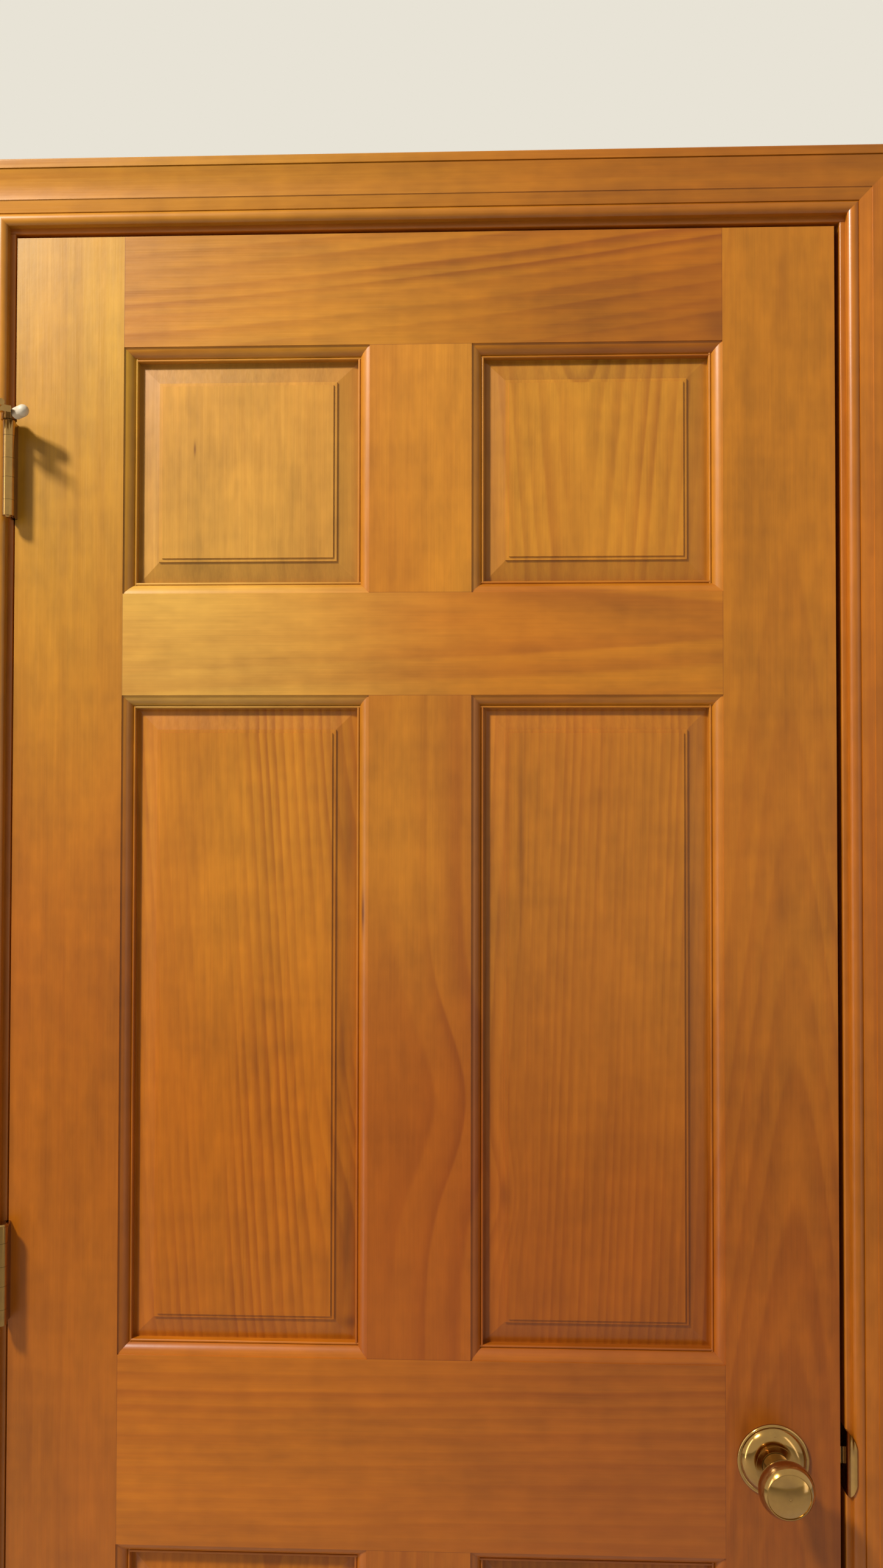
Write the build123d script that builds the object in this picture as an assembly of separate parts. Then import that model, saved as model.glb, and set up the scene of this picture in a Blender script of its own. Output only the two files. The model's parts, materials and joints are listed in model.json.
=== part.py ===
from build123d import *
import math
import os

# Six-panel pine door, hung in its jambs with casing on both sides of the wall.
# Frame: X to the right, Y into the wall, Z up, millimetres. Z = 0 is the floor.
# The side that the door opens towards is the front and faces -Y.

# Door leaf
LEAF_WIDTH = 762.0
LEAF_HEIGHT = 2032.0
LEAF_THICK = 35.0
FLOOR_GAP = 12.0
HEAD_GAP = 4.0
HINGE_GAP = 1.6
STRIKE_GAP = 5.0

# Flat faces of the leaf's members, between their moulded edges
STILE_FACE = 102.3
MULLION_FACE = 95.0
TOP_RAIL_FACE = 104.7
FRIEZE_RAIL_FACE = 95.2
LOCK_RAIL_FACE = 172.7
BOTTOM_RAIL_FACE = 223.0
TOP_SIGHT = 232.4
MIDDLE_SIGHT = 609.7

# Moulded edge that is stuck on each member: a step, an ovolo, a quirk and a bead
ARRIS_STEP = 1.2
OVOLO_WIDTH = 8.8
OVOLO_DEPTH = 7.6
OVOLO_RISE = 1.2
QUIRK_WIDTH = 0.4
QUIRK_DEPTH = 8.2
BEAD_RADIUS = 1.15
GROOVE_WIDTH = 7.3
GROOVE_DEPTH = 9.5

# Raised panels
TONGUE_THICK = 7.0
TONGUE_DEPTH = 8.0
FIELD_THICK = 19.0
BEVEL_START = 1.0
BEVEL_SIGHT = 31.5
BEVEL_THICK = 13.6
HIP_THICK_LOW = 16.3
HIP_THICK_HIGH = 16.6
FIELD_SIGHT = 34.7

# Dowels that pin rails to stiles and mullions to rails
RAIL_DOWEL_RADIUS = 6.35
RAIL_DOWEL_LENGTH = 110.0
MULLION_DOWEL_RADIUS = 4.75
MULLION_DOWEL_LENGTH = 60.0
DOWEL_CLEAR = 0.1
DOWEL_END_CLEAR = 1.5
RAIL_DOWEL_INSET = 26.0
MULLION_DOWEL_SPACING = 45.0

# Jambs, stops and casing
JAMB_THICK = 17.5
JAMB_DEPTH = 116.0
JAMB_ARRIS = 1.5
RABBET_DEPTH = 9.0
STOP_THICK = 11.0
STOP_WIDTH = 32.0
STOP_CLEAR = 1.5
STOP_ROUND = 4.0
CASING_WIDTH = 57.15
CASING_THICK = 17.5
REVEAL = 5.2

# Butt hinges, a loose pin in five knuckles
HINGE_HEIGHT = 88.9
HINGE_HALF_WIDTH = 44.45
HINGE_LEAF_THICK = 2.3
HINGE_CORNER = 6.35
HINGE_PIN_RADIUS = 3.175
PIN_CLEAR = 0.05
PIN_OFFSET = 14.0
KNUCKLE_HEIGHTS = (14.5, 21.1, 17.7, 21.1, 14.5)
KNUCKLE_GAP = 0.25
KNUCKLE_CLEAR = 0.4
TOP_HINGE_DROP = 177.8
BOTTOM_HINGE_RISE = 279.4
MORTISE_CLEAR = 0.2
PIN_HEAD_RADIUS = 5.2
PIN_HEAD_HEIGHT = 2.4
PIN_TIP = 1.5
HINGE_SCREW_INSET = 14.5
HINGE_SCREW_NEAR = 14.0
HINGE_SCREW_FAR = 22.0

# Countersunk screws
SCREW_HEAD_RADIUS = 4.2
SCREW_SHANK_RADIUS = 2.0
SCREW_HEAD_HEIGHT = 2.2
SCREW_TIP = 4.0
SCREW_CLEAR = 0.1
FRAME_SCREW_LENGTH = 16.5
DOOR_SCREW_LENGTH = 25.0

# Hinge-pin door stop
STOP_HUB_RADIUS = 7.0
STOP_HUB_HEIGHT = 6.0
BUMPER_RADIUS = 5.5
BUMPER_REACH = 26.0
BUMPER_BACK = 15.0
BUMPER_STEM_RADIUS = 2.0
BUMPER_STEM = 5.0
BUMPER_ANGLE = -41.0
OPEN_LIMIT = 100.0
ARM_WIDTH = 8.0
ROD_ARM_WIDTH = 6.0
ROD_ARM_ELBOW = 8.0
ROD_RADIUS = 3.0
ROD_CLEAR = 0.08
ROD_OFFSET = 19.5
ROD_BOSS_FORWARD = 20.0
ROD_BOSS_RADIUS = 5.5
ROD_BOSS_LENGTH = 9.0
ROD_TAIL = 18.0
PAD_RADIUS = 7.0
PAD_THICK = 6.0
PAD_SEAT_HEIGHT = 11.0
TOUCH_CLEAR = 0.3

# Knobs and roses
BACKSET = 60.0
KNOB_HEIGHT = 918.0
ROSE_RADIUS = 32.5
ROSE_RIM = 1.4
ROSE_HEIGHT = 9.5
ROSE_CROWN_RADIUS = 17.0
ROSE_WALL = 1.2
KNOB_SHANK_RADIUS = 11.8
KNOB_SHANK_CLEAR = 0.3
KNOB_SHANK_START = 1.5
KNOB_NECK_RADIUS = 10.8
KNOB_RADIUS = 24.3
KNOB_HALF_DEPTH = 18.5
KNOB_CENTRE = 46.0
KNOB_FACE_RADIUS = 19.5
KNOB_FACE_RISE = 2.96
KNOB_FACE_STEP = 0.7
KNOB_TURN = 55.0
RING_RADIUS = 14.0
RING_THICK = 1.2
RING_GROOVE = 0.9
RING_START = 3.2
CROSS_BORE_RADIUS = 27.0
POST_RADIUS = 3.6
POST_SPACING = 42.0
POST_DEPTH = 14.0
ROSE_BOLT_RADIUS = 2.0
ROSE_BOLT_HEAD_RADIUS = 3.6
ROSE_BOLT_HEAD_HEIGHT = 2.2
ROSE_BOLT_SEAT = 4.4
ROSE_BOLT_BITE = 8.0
SPINDLE_SIDE = 7.0
SPINDLE_IN_KNOB = 26.0

# Tubular latch, measured inwards from the leaf's lock edge
EDGE_BORE_RADIUS = 12.7
FACEPLATE_HEIGHT = 57.15
FACEPLATE_WIDTH = 25.4
FACEPLATE_THICK = 2.5
FACEPLATE_CORNER = 3.0
LATCH_SCREW_SPACING = 42.0
LATCH_SCREW_LENGTH = 19.0
CASE_RADIUS = 11.1
CASE_WALL = 1.2
CASE_TUBE_END = 42.0
CASE_BULKHEAD = 36.0
CASE_BULKHEAD_THICK = 2.0
CASE_HALF_WIDTH = 6.8
CASE_HALF_HEIGHT = 10.2
CASE_END = 79.2
BOLT_PROJECTION = 10.8
BOLT_THROW = 10.5
BOLT_WIDTH = 12.0
BOLT_HEIGHT = 15.0
BOLT_REAR = 17.0
BOLT_CLEAR = 0.35
BOLT_NOSE = 1.5
BOLT_NOSE_ROUND = 1.0
STEM_RADIUS = 3.0
STEM_CLEAR = 0.3
SLIDE_FRONT = 38.5
SLIDE_BRIDGE = 3.5
SLIDE_HALF_WIDTH = 4.9
SLIDE_WALL = 1.4
SLIDE_HALF_HEIGHT = 10.0
SLIDE_BRIDGE_HALF_HEIGHT = 3.0
SLIDE_ARM_HALF_HEIGHT = 8.0
SLOT_CLEAR = 0.3
SLIDE_TAIL = 3.2
HUB_RADIUS = 6.0
HUB_CLEAR = 0.1
FINGER_LENGTH = 12.0
FINGER_THICK = 3.0
FINGER_WIDTH = 6.0
FINGER_GAP = 0.5
BAR_THICK = 1.5
SPRING_RADIUS = 5.0
SPRING_WIRE = 0.5
SPRING_TURNS = 6

# Strike plate with a curved lip
STRIKE_HEIGHT = 57.15
STRIKE_THICK = 1.5
STRIKE_BACK = 31.0
STRIKE_HOLE_HEIGHT = 25.0
STRIKE_HOLE_WIDTH = 16.0
STRIKE_POCKET = 13.0
STRIKE_SCREW_SPACING = 41.0
STRIKE_CORNER = 3.0
LIP_RADIUS = 11.0
LIP_REACH = 7.0

# Sizes that follow from the ones above
OPENING_WIDTH = HINGE_GAP + LEAF_WIDTH + STRIKE_GAP
OPENING_TOP = FLOOR_GAP + LEAF_HEIGHT + HEAD_GAP
HINGE_JAMB_X = -OPENING_WIDTH / 2
STRIKE_JAMB_X = OPENING_WIDTH / 2
LEAF_LEFT = HINGE_JAMB_X + HINGE_GAP
LEAF_RIGHT = LEAF_LEFT + LEAF_WIDTH
LEAF_BOTTOM = FLOOR_GAP
LEAF_TOP = LEAF_BOTTOM + LEAF_HEIGHT
KNOB_REACH = KNOB_CENTRE + KNOB_HALF_DEPTH * math.sqrt(1 - (KNOB_FACE_RADIUS / KNOB_RADIUS) ** 2) + KNOB_FACE_RISE
# Y = 0 lies half way between the front knob's face and the back casing's face
FRONT = (KNOB_REACH - JAMB_DEPTH - CASING_THICK) / 2
BACK = FRONT + LEAF_THICK
WALL_BACK = FRONT + JAMB_DEPTH
MID = FRONT + LEAF_THICK / 2
BEAD_WIDTH = 2 * BEAD_RADIUS
STICK_WIDTH = OVOLO_WIDTH + QUIRK_WIDTH + BEAD_WIDTH
LATCH_Z = KNOB_HEIGHT
KNOB_X = LEAF_RIGHT - BACKSET
PIN_X = LEAF_LEFT - HINGE_GAP / 2
PIN_Y = FRONT - PIN_OFFSET
KNUCKLE_RADIUS = HINGE_PIN_RADIUS + PIN_CLEAR + HINGE_LEAF_THICK

# Lines between the members, from the hinge side and from the top
HINGE_STILE_ARRIS = LEAF_LEFT + STILE_FACE
LOCK_STILE_ARRIS = LEAF_RIGHT - STILE_FACE
LEAF_CENTRE = (LEAF_LEFT + LEAF_RIGHT) / 2
MULLION_LEFT = LEAF_CENTRE - MULLION_FACE / 2
MULLION_RIGHT = LEAF_CENTRE + MULLION_FACE / 2
TOP_RAIL_ARRIS = LEAF_TOP - TOP_RAIL_FACE
FRIEZE_UPPER = TOP_RAIL_ARRIS - TOP_SIGHT
FRIEZE_LOWER = FRIEZE_UPPER - FRIEZE_RAIL_FACE
LOCK_UPPER = FRIEZE_LOWER - MIDDLE_SIGHT
LOCK_LOWER = LOCK_UPPER - LOCK_RAIL_FACE
BOTTOM_RAIL_ARRIS = LEAF_BOTTOM + BOTTOM_RAIL_FACE

# Hinge centres
TOP_HINGE_Z = LEAF_TOP - TOP_HINGE_DROP - HINGE_HEIGHT / 2
BOTTOM_HINGE_Z = LEAF_BOTTOM + BOTTOM_HINGE_RISE + HINGE_HEIGHT / 2
MIDDLE_HINGE_Z = (TOP_HINGE_Z + BOTTOM_HINGE_Z) / 2
HINGES = {"top": TOP_HINGE_Z, "middle": MIDDLE_HINGE_Z, "bottom": BOTTOM_HINGE_Z}


def block(x0, x1, y0, y1, z0, z1):
    """A box between two corners."""
    centre = Pos((x0 + x1) / 2, (y0 + y1) / 2, (z0 + z1) / 2)
    return centre * Box(abs(x1 - x0), abs(y1 - y0), abs(z1 - z0))


def rod_between(start, end, radius):
    """A round bar from one point to another."""
    start, end = Vector(*start), Vector(*end)
    run = end - start
    plane = Plane(origin=start, z_dir=run)
    return extrude(plane * Circle(radius), run.length)


def face_of(points):
    """A flat face inside straight sides."""
    return make_face(Polyline(*points, close=True))


def prism_xz(points):
    """A prism through the whole wall, from an outline in X and Z."""
    reach = 4 * JAMB_DEPTH
    outline = Plane.XZ * face_of(points)
    return extrude(outline, reach, both=True)


def outline(steps):
    """Edges from step to step. A step is a point, or the middle and the end of an arc."""
    here = steps[0][0]
    edges = []
    for step in steps[1:]:
        if len(step) == 1:
            edges.append(Line(here, step[0]))
        else:
            edges.append(ThreePointArc(here, *step))
        here = step[-1]
    return edges


def closed(steps):
    """A flat face inside an outline that returns to its start by a straight line."""
    return make_face(outline(steps) + [Line(steps[-1][-1], steps[0][0])])


def turned(steps, axis_plane):
    """A turned solid, from its outline as (radius, height)."""
    return axis_plane * revolve(Plane.XZ * closed(steps), Axis.Z)


# Moulded members of the leaf

def stick_half():
    """The moulded edge from the face down to the groove, as (w, d): w past the arris, d below the face."""
    chord = math.hypot(OVOLO_WIDTH, OVOLO_DEPTH - ARRIS_STEP)
    lean_w = (OVOLO_DEPTH - ARRIS_STEP) / chord
    lean_d = -OVOLO_WIDTH / chord
    ovolo_mid = (
        OVOLO_WIDTH / 2 + OVOLO_RISE * lean_w,
        (ARRIS_STEP + OVOLO_DEPTH) / 2 + OVOLO_RISE * lean_d,
    )
    bead_start = OVOLO_WIDTH + QUIRK_WIDTH
    return [
        ((0, 0),),
        ((0, ARRIS_STEP),),
        (ovolo_mid, (OVOLO_WIDTH, OVOLO_DEPTH)),
        ((bead_start, QUIRK_DEPTH),),
        ((bead_start + BEAD_RADIUS, QUIRK_DEPTH - BEAD_RADIUS), (STICK_WIDTH, QUIRK_DEPTH)),
        ((STICK_WIDTH, (LEAF_THICK - GROOVE_WIDTH) / 2),),
        ((STICK_WIDTH - GROOVE_DEPTH, (LEAF_THICK - GROOVE_WIDTH) / 2),),
        ((STICK_WIDTH - GROOVE_DEPTH, LEAF_THICK / 2),),
    ]


def stick_edges(arris, side):
    """Edges of one moulded edge, front and back, that runs past its arris to the given side."""
    front = [tuple((arris + side * w, d) for w, d in step) for step in stick_half()]
    back = [tuple((x, LEAF_THICK - y) for x, y in step) for step in front]
    return outline(front) + outline(back)


def member_section(low, high, mould_low, mould_high):
    """Section of a member between two arrises, moulded or square at each edge."""
    edges = [Line((low, 0), (high, 0)), Line((low, LEAF_THICK), (high, LEAF_THICK))]
    for arris, side, moulded in ((low, -1, mould_low), (high, 1, mould_high)):
        if moulded:
            edges += stick_edges(arris, side)
        else:
            edges.append(Line((arris, 0), (arris, LEAF_THICK)))
    return make_face(edges)


def upright(left, right, bottom, top, mould_left, mould_right):
    """A member whose length runs up."""
    plane = Plane(origin=(0, FRONT, bottom), x_dir=(1, 0, 0), z_dir=(0, 0, 1))
    return extrude(plane * member_section(left, right, mould_left, mould_right), top - bottom)


def crosswise(left, right, bottom, top, mould_bottom, mould_top):
    """A member whose length runs across."""
    plane = Plane(origin=(right, FRONT, 0), x_dir=(0, 0, 1), z_dir=(-1, 0, 0))
    return extrude(plane * member_section(bottom, top, mould_bottom, mould_top), right - left)


def coped(member, *others):
    """A member cut to fit over the moulded edges that it meets. The crumbs left in their quirks fall away."""
    for other in others:
        member = member - other
    return max(member.solids(), key=lambda solid: solid.volume)


def panel_steps(edge, middle, side):
    """Half of a panel's section from its edge to its middle, as (place, thickness)."""
    hidden = STICK_WIDTH - TONGUE_DEPTH
    return [
        (edge, TONGUE_THICK),
        (edge + side * (TONGUE_DEPTH + BEVEL_START), TONGUE_THICK),
        (edge + side * (BEVEL_SIGHT - hidden), BEVEL_THICK),
        (edge + side * (BEVEL_SIGHT - hidden), HIP_THICK_LOW),
        (edge + side * (FIELD_SIGHT - hidden), HIP_THICK_HIGH),
        (edge + side * (FIELD_SIGHT - hidden), FIELD_THICK),
        (middle, FIELD_THICK),
    ]


def panel_section(low, high):
    """A panel's section across its width or its height."""
    middle = (low + high) / 2
    rising = panel_steps(low, middle, 1)
    falling = panel_steps(high, middle, -1)[::-1][1:]
    line = rising + falling
    front = [(place, (LEAF_THICK - thick) / 2) for place, thick in line]
    back = [(place, (LEAF_THICK + thick) / 2) for place, thick in line[::-1]]
    return face_of(front + back)


def raised_panel(arris_left, arris_right, arris_bottom, arris_top):
    """A panel bevelled on its four sides and both faces, with its tongue in the grooves."""
    hidden = STICK_WIDTH - TONGUE_DEPTH
    left, right = arris_left + hidden, arris_right - hidden
    bottom, top = arris_bottom + hidden, arris_top - hidden
    across = Plane(origin=(0, FRONT, bottom), x_dir=(1, 0, 0), z_dir=(0, 0, 1))
    upwards = Plane(origin=(right, FRONT, 0), x_dir=(0, 0, 1), z_dir=(-1, 0, 0))
    bar = extrude(across * panel_section(left, right), top - bottom)
    slab = extrude(upwards * panel_section(bottom, top), right - left)
    return bar & slab


def rail_dowel_spots(bottom, top):
    """Heights of the two dowels that pin a rail to each stile."""
    return (bottom + RAIL_DOWEL_INSET, top - RAIL_DOWEL_INSET)


def dowel_along_x(x, z, length, radius):
    return rod_between((x - length / 2, MID, z), (x + length / 2, MID, z), radius)


def dowel_along_z(x, z, length, radius):
    return rod_between((x, MID, z - length / 2), (x, MID, z + length / 2), radius)


# Screws

def screw(point, direction, length, clear=0.0):
    """A countersunk screw, its head's top at the point. A clearance makes the hole for it."""
    head = SCREW_HEAD_RADIUS + clear
    shank = SCREW_SHANK_RADIUS + clear
    deep = SCREW_HEAD_HEIGHT + clear
    end = length + clear
    steps = [
        ((0, 0),),
        ((head, 0),),
        ((shank, deep),),
        ((shank, end - SCREW_TIP),),
        ((0, end),),
    ]
    return turned(steps, Plane(origin=point, z_dir=direction))


# Hinges

def knuckle_spans(centre_z):
    """Bottom and top of each knuckle, from the top of the barrel down."""
    spans = []
    upper = centre_z + HINGE_HEIGHT / 2
    scale = HINGE_HEIGHT / sum(KNUCKLE_HEIGHTS)
    last = len(KNUCKLE_HEIGHTS) - 1
    for index, height in enumerate(KNUCKLE_HEIGHTS):
        lower = upper - height * scale
        top = upper if index == 0 else upper - KNUCKLE_GAP / 2
        bottom = lower if index == last else lower + KNUCKLE_GAP / 2
        spans.append((bottom, top))
        upper = lower
    return spans


def leaf_plate(x0, x1, y0, centre_z, clear):
    """The flat of a hinge leaf with its two round corners, or its mortise when there is a clearance."""
    half = HINGE_HEIGHT / 2 + clear
    plate = block(x0, x1, y0, PIN_Y + HINGE_HALF_WIDTH + clear, centre_z - half, centre_z + half)
    corners = plate.edges().filter_by(Axis.X).sort_by(Axis.Y)[-2:]
    return fillet(corners, HINGE_CORNER + clear)


def hinge_leaf(side, centre_z, knuckles):
    """A leaf on one side of the pin: -1 on the jamb, +1 on the door, with its own knuckles."""
    inner = PIN_X + side * HINGE_GAP / 2
    outer = inner + side * HINGE_LEAF_THICK
    clear_y = PIN_Y + KNUCKLE_RADIUS + KNUCKLE_CLEAR
    leaf = leaf_plate(inner, outer, clear_y, centre_z, 0)
    spans = knuckle_spans(centre_z)
    for index in knuckles:
        bottom, top = spans[index]
        leaf += rod_between((PIN_X, PIN_Y, bottom), (PIN_X, PIN_Y, top), KNUCKLE_RADIUS)
        leaf += block(inner, outer, PIN_Y, clear_y + HINGE_LEAF_THICK, bottom, top)
    end = HINGE_HEIGHT
    bore = rod_between(
        (PIN_X, PIN_Y, centre_z - end), (PIN_X, PIN_Y, centre_z + end), HINGE_PIN_RADIUS + PIN_CLEAR
    )
    leaf -= bore
    for point, direction in hinge_screw_spots(side, centre_z):
        leaf -= screw(point, direction, DOOR_SCREW_LENGTH, SCREW_CLEAR)
    return leaf


def hinge_screw_spots(side, centre_z):
    """Where the three screws of a leaf start, and which way they go."""
    face = PIN_X + side * HINGE_GAP / 2
    outer = HINGE_HEIGHT / 2 - HINGE_SCREW_INSET
    spots = ((-outer, HINGE_SCREW_NEAR), (0, HINGE_SCREW_FAR), (outer, HINGE_SCREW_NEAR))
    return [((face, FRONT + y, centre_z + z), (side, 0, 0)) for z, y in spots]


def hinge_pin(centre_z, lift):
    """A loose pin with a flat head. Lift is the height of what sits between head and barrel."""
    bottom = centre_z - HINGE_HEIGHT / 2 - PIN_TIP
    seat = centre_z + HINGE_HEIGHT / 2 + lift
    round_r = PIN_HEAD_RADIUS - PIN_HEAD_HEIGHT / 3
    steps = [
        ((0, bottom),),
        ((HINGE_PIN_RADIUS - 1, bottom),),
        ((HINGE_PIN_RADIUS, bottom + 1),),
        ((HINGE_PIN_RADIUS, seat),),
        ((PIN_HEAD_RADIUS, seat),),
        ((PIN_HEAD_RADIUS, seat + PIN_HEAD_HEIGHT / 2),),
        ((round_r, seat + PIN_HEAD_HEIGHT),),
        ((0, seat + PIN_HEAD_HEIGHT),),
    ]
    return turned(steps, Plane(origin=(PIN_X, PIN_Y, 0)))


# Frame

def casing_section():
    """The casing's section as (w, t): w outwards from its inner edge, t proud of the wall."""
    steps = [
        ((0, 0),),
        ((0, 6.2),),
        ((5.2, 9.5), (9.6, 8.3)),
        ((10.0, 7.8),),
        ((10.5, 9.0),),
        ((21.0, PAD_SEAT_HEIGHT),),
        ((21.5, 11.8),),
        ((35.5, 12.7), (48.0, 16.0)),
        ((48.3, 15.3),),
        ((48.8, 15.3),),
        ((49.0, 16.9),),
        ((CASING_WIDTH - 1.5, CASING_THICK),),
        ((CASING_WIDTH - 0.35, CASING_THICK - 0.45), (CASING_WIDTH, CASING_THICK - 1.5)),
        ((CASING_WIDTH, 0),),
    ]
    return closed(steps)


def casing_strip(origin, outward, forward, keep):
    """A length of casing, cut to the outline to keep in X and Z, with its mitres."""
    plane = Plane(origin=origin, x_dir=outward, z_dir=Vector(*outward).cross(Vector(*forward)))
    strip = extrude(plane * casing_section(), 2 * OPENING_TOP, both=True)
    return strip & prism_xz(keep)


def casing_set(face_y, forward):
    """The two legs and the head of the casing on one side of the wall."""
    inner_x = OPENING_WIDTH / 2 + REVEAL
    outer_x = inner_x + CASING_WIDTH
    inner_z = OPENING_TOP + REVEAL
    outer_z = inner_z + CASING_WIDTH
    legs = []
    for side in (-1, 1):
        keep = [
            (side * inner_x, 0),
            (side * inner_x, inner_z),
            (side * outer_x, outer_z),
            (side * outer_x, 0),
        ]
        legs.append(casing_strip((side * inner_x, face_y, 0), (side, 0, 0), (0, forward, 0), keep))
    keep = [(-inner_x, inner_z), (inner_x, inner_z), (outer_x, outer_z), (-outer_x, outer_z)]
    head = casing_strip((0, face_y, inner_z), (0, 0, 1), (0, forward, 0), keep)
    return legs[0], legs[1], head


def eased_board(x0, x1, z0, z1, edges_along, eased_at):
    """A jamb board over the wall's depth, its two inner arrises eased."""
    board = block(x0, x1, FRONT, WALL_BACK, z0, z1)
    inner = board.edges().filter_by(edges_along).filter_by(eased_at)
    return fillet(inner, JAMB_ARRIS)


def side_jamb(face_x, side):
    """A side jamb, its face at the opening, with the rabbet that takes the head jamb."""
    jamb = eased_board(
        face_x,
        face_x + side * JAMB_THICK,
        0,
        OPENING_TOP + JAMB_THICK,
        Axis.Z,
        lambda edge: abs(edge.center().X - face_x) < JAMB_THICK / 4,
    )
    jamb -= block(
        face_x - side * JAMB_THICK,
        face_x + side * RABBET_DEPTH,
        FRONT - JAMB_DEPTH,
        WALL_BACK + JAMB_DEPTH,
        OPENING_TOP,
        OPENING_TOP + 2 * JAMB_THICK,
    )
    return jamb


def stop_strip(x0, x1, z0, z1, length_axis, near_opening):
    """A strip of stop moulding behind the leaf, its exposed back edge rounded."""
    y0 = BACK + STOP_CLEAR
    strip = block(x0, x1, y0, y0 + STOP_WIDTH, z0, z1)
    edge = strip.edges().filter_by(length_axis).filter_by(near_opening).sort_by(Axis.Y)[-1]
    return fillet(edge, STOP_ROUND)


def build_stops():
    inner_x = OPENING_WIDTH / 2 - STOP_THICK
    under = OPENING_TOP - STOP_THICK
    left = stop_strip(
        HINGE_JAMB_X, -inner_x, 0, under, Axis.Z,
        lambda edge: edge.center().X > -inner_x - STOP_THICK / 4,
    )
    right = stop_strip(
        inner_x, STRIKE_JAMB_X, 0, under, Axis.Z,
        lambda edge: edge.center().X < inner_x + STOP_THICK / 4,
    )
    head = stop_strip(
        HINGE_JAMB_X, STRIKE_JAMB_X, under, OPENING_TOP, Axis.X,
        lambda edge: edge.center().Z < under + STOP_THICK / 4,
    )
    return left, right, head


# Strike plate

def strike_screw_spots():
    spots = []
    for side in (-1, 1):
        z = LATCH_Z + side * STRIKE_SCREW_SPACING / 2
        spots.append(((STRIKE_JAMB_X, MID, z), (1, 0, 0)))
    return spots


def strike_plate():
    """A flat plate let into the jamb, with a half-oval lip that curls out over the casing."""
    half = STRIKE_HEIGHT / 2
    flat = block(
        STRIKE_JAMB_X, STRIKE_JAMB_X + STRIKE_THICK, FRONT, FRONT + STRIKE_BACK, LATCH_Z - half, LATCH_Z + half
    )
    corners = flat.edges().filter_by(Axis.X).sort_by(Axis.Y)[-2:]
    flat = fillet(corners, STRIKE_CORNER)
    turn = math.acos(1 - LIP_REACH / LIP_RADIUS)
    centre_x = STRIKE_JAMB_X + LIP_RADIUS
    inner_radius = LIP_RADIUS - STRIKE_THICK

    def on_arc(radius, angle):
        return (centre_x - radius * math.cos(angle), FRONT - radius * math.sin(angle))

    edges = [
        ThreePointArc(on_arc(LIP_RADIUS, 0), on_arc(LIP_RADIUS, turn / 2), on_arc(LIP_RADIUS, turn)),
        Line(on_arc(LIP_RADIUS, turn), on_arc(inner_radius, turn)),
        ThreePointArc(on_arc(inner_radius, turn), on_arc(inner_radius, turn / 2), on_arc(inner_radius, 0)),
        Line(on_arc(inner_radius, 0), on_arc(LIP_RADIUS, 0)),
    ]
    lip_plane = Plane(origin=(0, 0, LATCH_Z - half), x_dir=(1, 0, 0), z_dir=(0, 0, 1))
    lip = extrude(lip_plane * make_face(edges), STRIKE_HEIGHT)
    oval_plane = Plane(origin=(STRIKE_JAMB_X, FRONT + 2 * LIP_RADIUS, LATCH_Z), x_dir=(1, 0, 0), z_dir=(0, -1, 0))
    lip = lip & extrude(oval_plane * Ellipse(LIP_REACH + STRIKE_THICK, half), 4 * LIP_RADIUS)
    plate = flat + lip
    plate -= strike_hole(STRIKE_THICK, 0)
    for point, direction in strike_screw_spots():
        plate -= screw(point, direction, FRAME_SCREW_LENGTH, SCREW_CLEAR)
    return plate


def strike_hole(depth, clear):
    """The hole that the latch bolt enters."""
    half_y = STRIKE_HOLE_WIDTH / 2 + clear
    half_z = STRIKE_HOLE_HEIGHT / 2 + clear
    return block(
        STRIKE_JAMB_X - depth, STRIKE_JAMB_X + depth, MID - half_y, MID + half_y, LATCH_Z - half_z, LATCH_Z + half_z
    )


def strike_mortise():
    half = STRIKE_HEIGHT / 2 + MORTISE_CLEAR
    return block(
        STRIKE_JAMB_X - STRIKE_THICK,
        STRIKE_JAMB_X + STRIKE_THICK,
        FRONT - STRIKE_BACK,
        FRONT + STRIKE_BACK + MORTISE_CLEAR,
        LATCH_Z - half,
        LATCH_Z + half,
    )


# Latch

def lock_x(inwards):
    """X of a place measured inwards from the lock edge of the leaf."""
    return LEAF_RIGHT - inwards


def latch_screw_spots():
    spots = []
    for side in (-1, 1):
        z = LATCH_Z + side * LATCH_SCREW_SPACING / 2
        spots.append(((LEAF_RIGHT, MID, z), (-1, 0, 0)))
    return spots


def latch_faceplate(clear=0.0):
    """The plate on the leaf's edge, or its mortise when there is a clearance."""
    half_z = FACEPLATE_HEIGHT / 2 + clear
    half_y = FACEPLATE_WIDTH / 2 + clear
    plate = block(
        LEAF_RIGHT, lock_x(FACEPLATE_THICK), MID - half_y, MID + half_y, LATCH_Z - half_z, LATCH_Z + half_z
    )
    return fillet(plate.edges().filter_by(Axis.X), FACEPLATE_CORNER + clear)


def bolt_blank(x0, x1, clear):
    half_y = BOLT_WIDTH / 2 + clear
    half_z = BOLT_HEIGHT / 2 + clear
    return block(x0, x1, MID - half_y, MID + half_y, LATCH_Z - half_z, LATCH_Z + half_z)


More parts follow.
